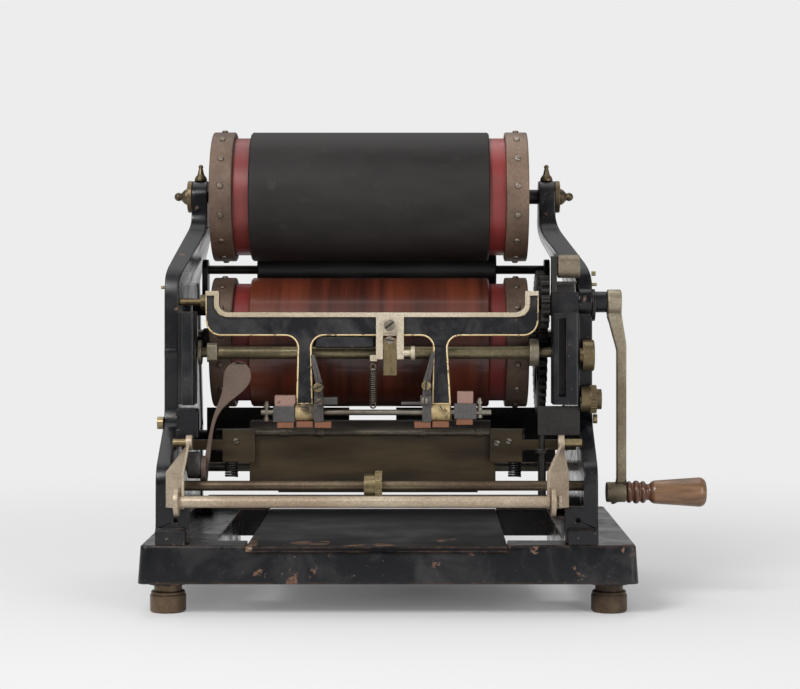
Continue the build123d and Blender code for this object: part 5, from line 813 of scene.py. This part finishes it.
for name, x, top in (("left_set_screws", left_foot_x - 0.0375, 0.0082),
                     ("right_set_screws", right_foot_x + 0.0390, 0.0115)):
    stack_foot = rod_z + top - STACK_BELOW_TOP
    deselect()
    bpy.ops.mesh.primitive_cylinder_add(vertices=20, radius=STACK_RADIUS, depth=STACK_HEIGHT,
                                        location=(x, rod_y, stack_foot + STACK_HEIGHT / 2))
    stack = bpy.context.object
    stack.name = name
    bpy.ops.object.transform_apply(location=True, rotation=True, scale=True)
    bpy.ops.object.mode_set(mode="EDIT")
    for cut in range(1, STACK_CUTS + 1):
        bpy.ops.mesh.select_all(action="SELECT")
        bpy.ops.mesh.bisect(plane_co=(0, 0, stack_foot + cut * RING_STEP), plane_no=(0, 0, 1))
    bpy.ops.mesh.select_all(action="DESELECT")
    shape = bmesh.from_edit_mesh(stack.data)
    for face in shape.faces:
        ring = int((face.calc_center_median().z - stack_foot) / RING_STEP)
        face.select = abs(face.normal.z) < 0.5 and ring % 2 == 1
    bmesh.update_edit_mesh(stack.data)
    bpy.ops.mesh.extrude_region_shrink_fatten(TRANSFORM_OT_shrink_fatten={"value": -STACK_NECK})
    bpy.ops.object.mode_set(mode="OBJECT")
    bpy.ops.object.shade_smooth_by_angle(angle=radians(35))
    stack.data.materials.append(screw_steel)
    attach(stack, "feed_carriage")

# ---------------------------------------------------------------------------------------------
# Paper guide: a sheet-brass plate gone olive brown, a rail along its top with bent clips, screwed
# corner brackets, and two black springs below the corners.
# ---------------------------------------------------------------------------------------------
CORNER_COIL_RADIUS = 0.0058
CORNER_COIL_WIRE = 0.0011
CORNER_COIL_TURNS = 6
CORNER_COIL_END = 0.0012
CORNER_COIL_INSET = 0.007
GUIDE_SCREW_RADIUS = 0.0030
GUIDE_SCREW_HEIGHT = 0.0020
GUIDE_SCREW_FORWARD = 0.0081
olive, tree, worn, skin = finish("olive_brass", metallic=0.45, edge_width=0.0006, chip_scale=60.0,
                                 chip_share=0.27, grain_scale=420.0)
here = put(tree, "ShaderNodeTexCoord").outputs["Object"]
height = put(tree, "ShaderNodeSeparateXYZ", {"Vector": here}).outputs["Z"]
guide_low, guide_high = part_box("guide_plate")
stretched = put(tree, "ShaderNodeMapping", {"Vector": here, "Scale": (5.0, 20.0, 34.0)})
stain = noise(tree, stretched.outputs[0], 1.2, 6.0, 0.6)
tone = blended(tree, ranged(tree, stain, 0.36, 0.64), (0.030, 0.019, 0.009), (0.078, 0.054, 0.024))
greyed = ranged(tree, height, guide_high[2] - 0.016, guide_high[2], 0.0, 0.6)
tone = blended(tree, greyed, tone, (0.040, 0.032, 0.022))
tone = blended(tree, reckon(tree, worn["Chips"], 0.6), tone, (0.045, 0.032, 0.020))
# painted shade: near black towards the bottom of the plate, where it sits behind the gauge tube
painted_shade_low = ranged(tree, height, guide_low[2] + 0.022, guide_low[2] + 0.006, 0.0, 0.9)
tone = blended(tree, painted_shade_low, tone, (0.008, 0.006, 0.004))
feed(tree, skin, tone, ranged(tree, stain, 0.3, 0.7, 0.36, 0.5))
rough_with(tree, skin, worn, stain, 0.12, 0.0005)
paint(olive, "guide_plate")
rail_nickel = metal("rail_nickel", (0.150, 0.130, 0.098), (0.066, 0.054, 0.038), (0.44, 0.41, 0.35),
                    roughness=0.4, metallic=0.6)
finished_copy("guide_rail", "frame", rail_nickel, 0.0003)
finished_copy("guide_brackets", "frame", olive, 0.0007)
blue_black = metal("spring_black", (0.022, 0.022, 0.025), (0.035, 0.028, 0.024), (0.12, 0.11, 0.10),
                   roughness=0.32, metallic=0.6)
coils_low, coils_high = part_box("guide_springs")
coils_y = (coils_low[1] + coils_high[1]) / 2
for tag, x in (("left", coils_low[0] + CORNER_COIL_INSET), ("right", coils_high[0] - CORNER_COIL_INSET)):
    coil = wire_coil(f"guide_spring_{tag}", (x, coils_y), coils_low[2] + CORNER_COIL_END,
                     coils_high[2] - CORNER_COIL_END, CORNER_COIL_RADIUS, CORNER_COIL_WIRE, CORNER_COIL_TURNS,
                     "frame", blue_black)
    if tag == "left":
        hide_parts("guide_springs")
for name, x, z in (("guide_screw_1", guide_low[0] + 0.014, -0.012),
                   ("guide_screw_2", guide_high[0] - 0.014, -0.012),
                   ("guide_screw_3", guide_high[0] - 0.026, -0.014)):
    slotted_screw(name, (x, guide_low[1] - GUIDE_SCREW_FORWARD, guide_high[2] + z), FRONT,
                  GUIDE_SCREW_RADIUS, GUIDE_SCREW_HEIGHT, "frame", screw_steel, 0.5 + x * 9)

# ---------------------------------------------------------------------------------------------
# Right-hand fittings: the turned hub and knurled knob of brass, the tan side roller with its
# riveted bracket, and the pillar that the bail's stop stands on.
# ---------------------------------------------------------------------------------------------
paint(dark_brass, "guide_hub", "adjusting_knob")
paint(gear_iron, "pillar")
roller_tan = metal("roller_tan", (0.235, 0.190, 0.135), (0.125, 0.095, 0.066), (0.42, 0.36, 0.27),
                   roughness=0.42, metallic=0.6)
paint(roller_tan, "side_roller")
finished_copy("side_roller_bracket", "frame", gear_iron, 0.0004)

# ---------------------------------------------------------------------------------------------
# Impression cradle and roller under the drum: dark steel arms on a cross shaft with a sheet-iron
# apron, coloured darker still as painted shade, and a rubber-covered roller that the lever lifts.
# ---------------------------------------------------------------------------------------------
paint(gear_iron, "impression_cradle", "impression_shaft")
grey_rubber, tree, worn, skin = finish("impression_rubber", edge_width=0.0008, chip_scale=20.0,
                                       chip_share=0.2, grain_scale=600.0)
tone = blended(tree, ranged(tree, worn["Dirt"], 0.35, 0.65), (0.022, 0.018, 0.016), (0.045, 0.036, 0.031))
feed(tree, skin, tone, 0.55)
rough_with(tree, skin, worn, worn["Grain"], 0.12, 0.0002)
paint(grey_rubber, "impression_roller")

# ---------------------------------------------------------------------------------------------
# Paddle lever: a flat spoon of brown-bronzed steel, dished a little, on a black hub at the left.
# ---------------------------------------------------------------------------------------------
HUB_LENGTH = 0.0142
lever_brown = metal("lever_brown", (0.150, 0.102, 0.078), (0.080, 0.054, 0.042), (0.30, 0.22, 0.17),
                    roughness=0.55, metallic=0.25, grain_scale=600.0, edge_width=0.0010)
lever = finished_copy("impression_lever", "impression_lever", lever_brown, 0.0007, bend=40)
lever.data.materials.append(block_iron)
hub_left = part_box("impression_lever")[0][0]
for face in lever.data.polygons:
    if face.center.x < hub_left + HUB_LENGTH:
        face.material_index = 1

# ---------------------------------------------------------------------------------------------
# Bail, gauge shaft and milled wheel across the front: a drawn bar between bent sheet arms, and a
# tube with a sliding milled wheel, all plated once and now tan, and darker brown on the tube.
# ---------------------------------------------------------------------------------------------
bail_tan = metal("bail_tan", (0.520, 0.430, 0.320), (0.330, 0.250, 0.175), (0.72, 0.64, 0.52), roughness=0.40,
                 metallic=0.5, grain_scale=520.0, chip_share=0.30, chip_scale=90.0)
finished_copy("front_bail", "front_bail", bail_tan, 0.0005)
tube_brown = metal("tube_brown", (0.190, 0.145, 0.092), (0.085, 0.056, 0.036), (0.42, 0.35, 0.25),
                   roughness=0.36, metallic=0.7)
paint(tube_brown, "gauge_shaft")
paint(aged_brass, "milled_wheel")
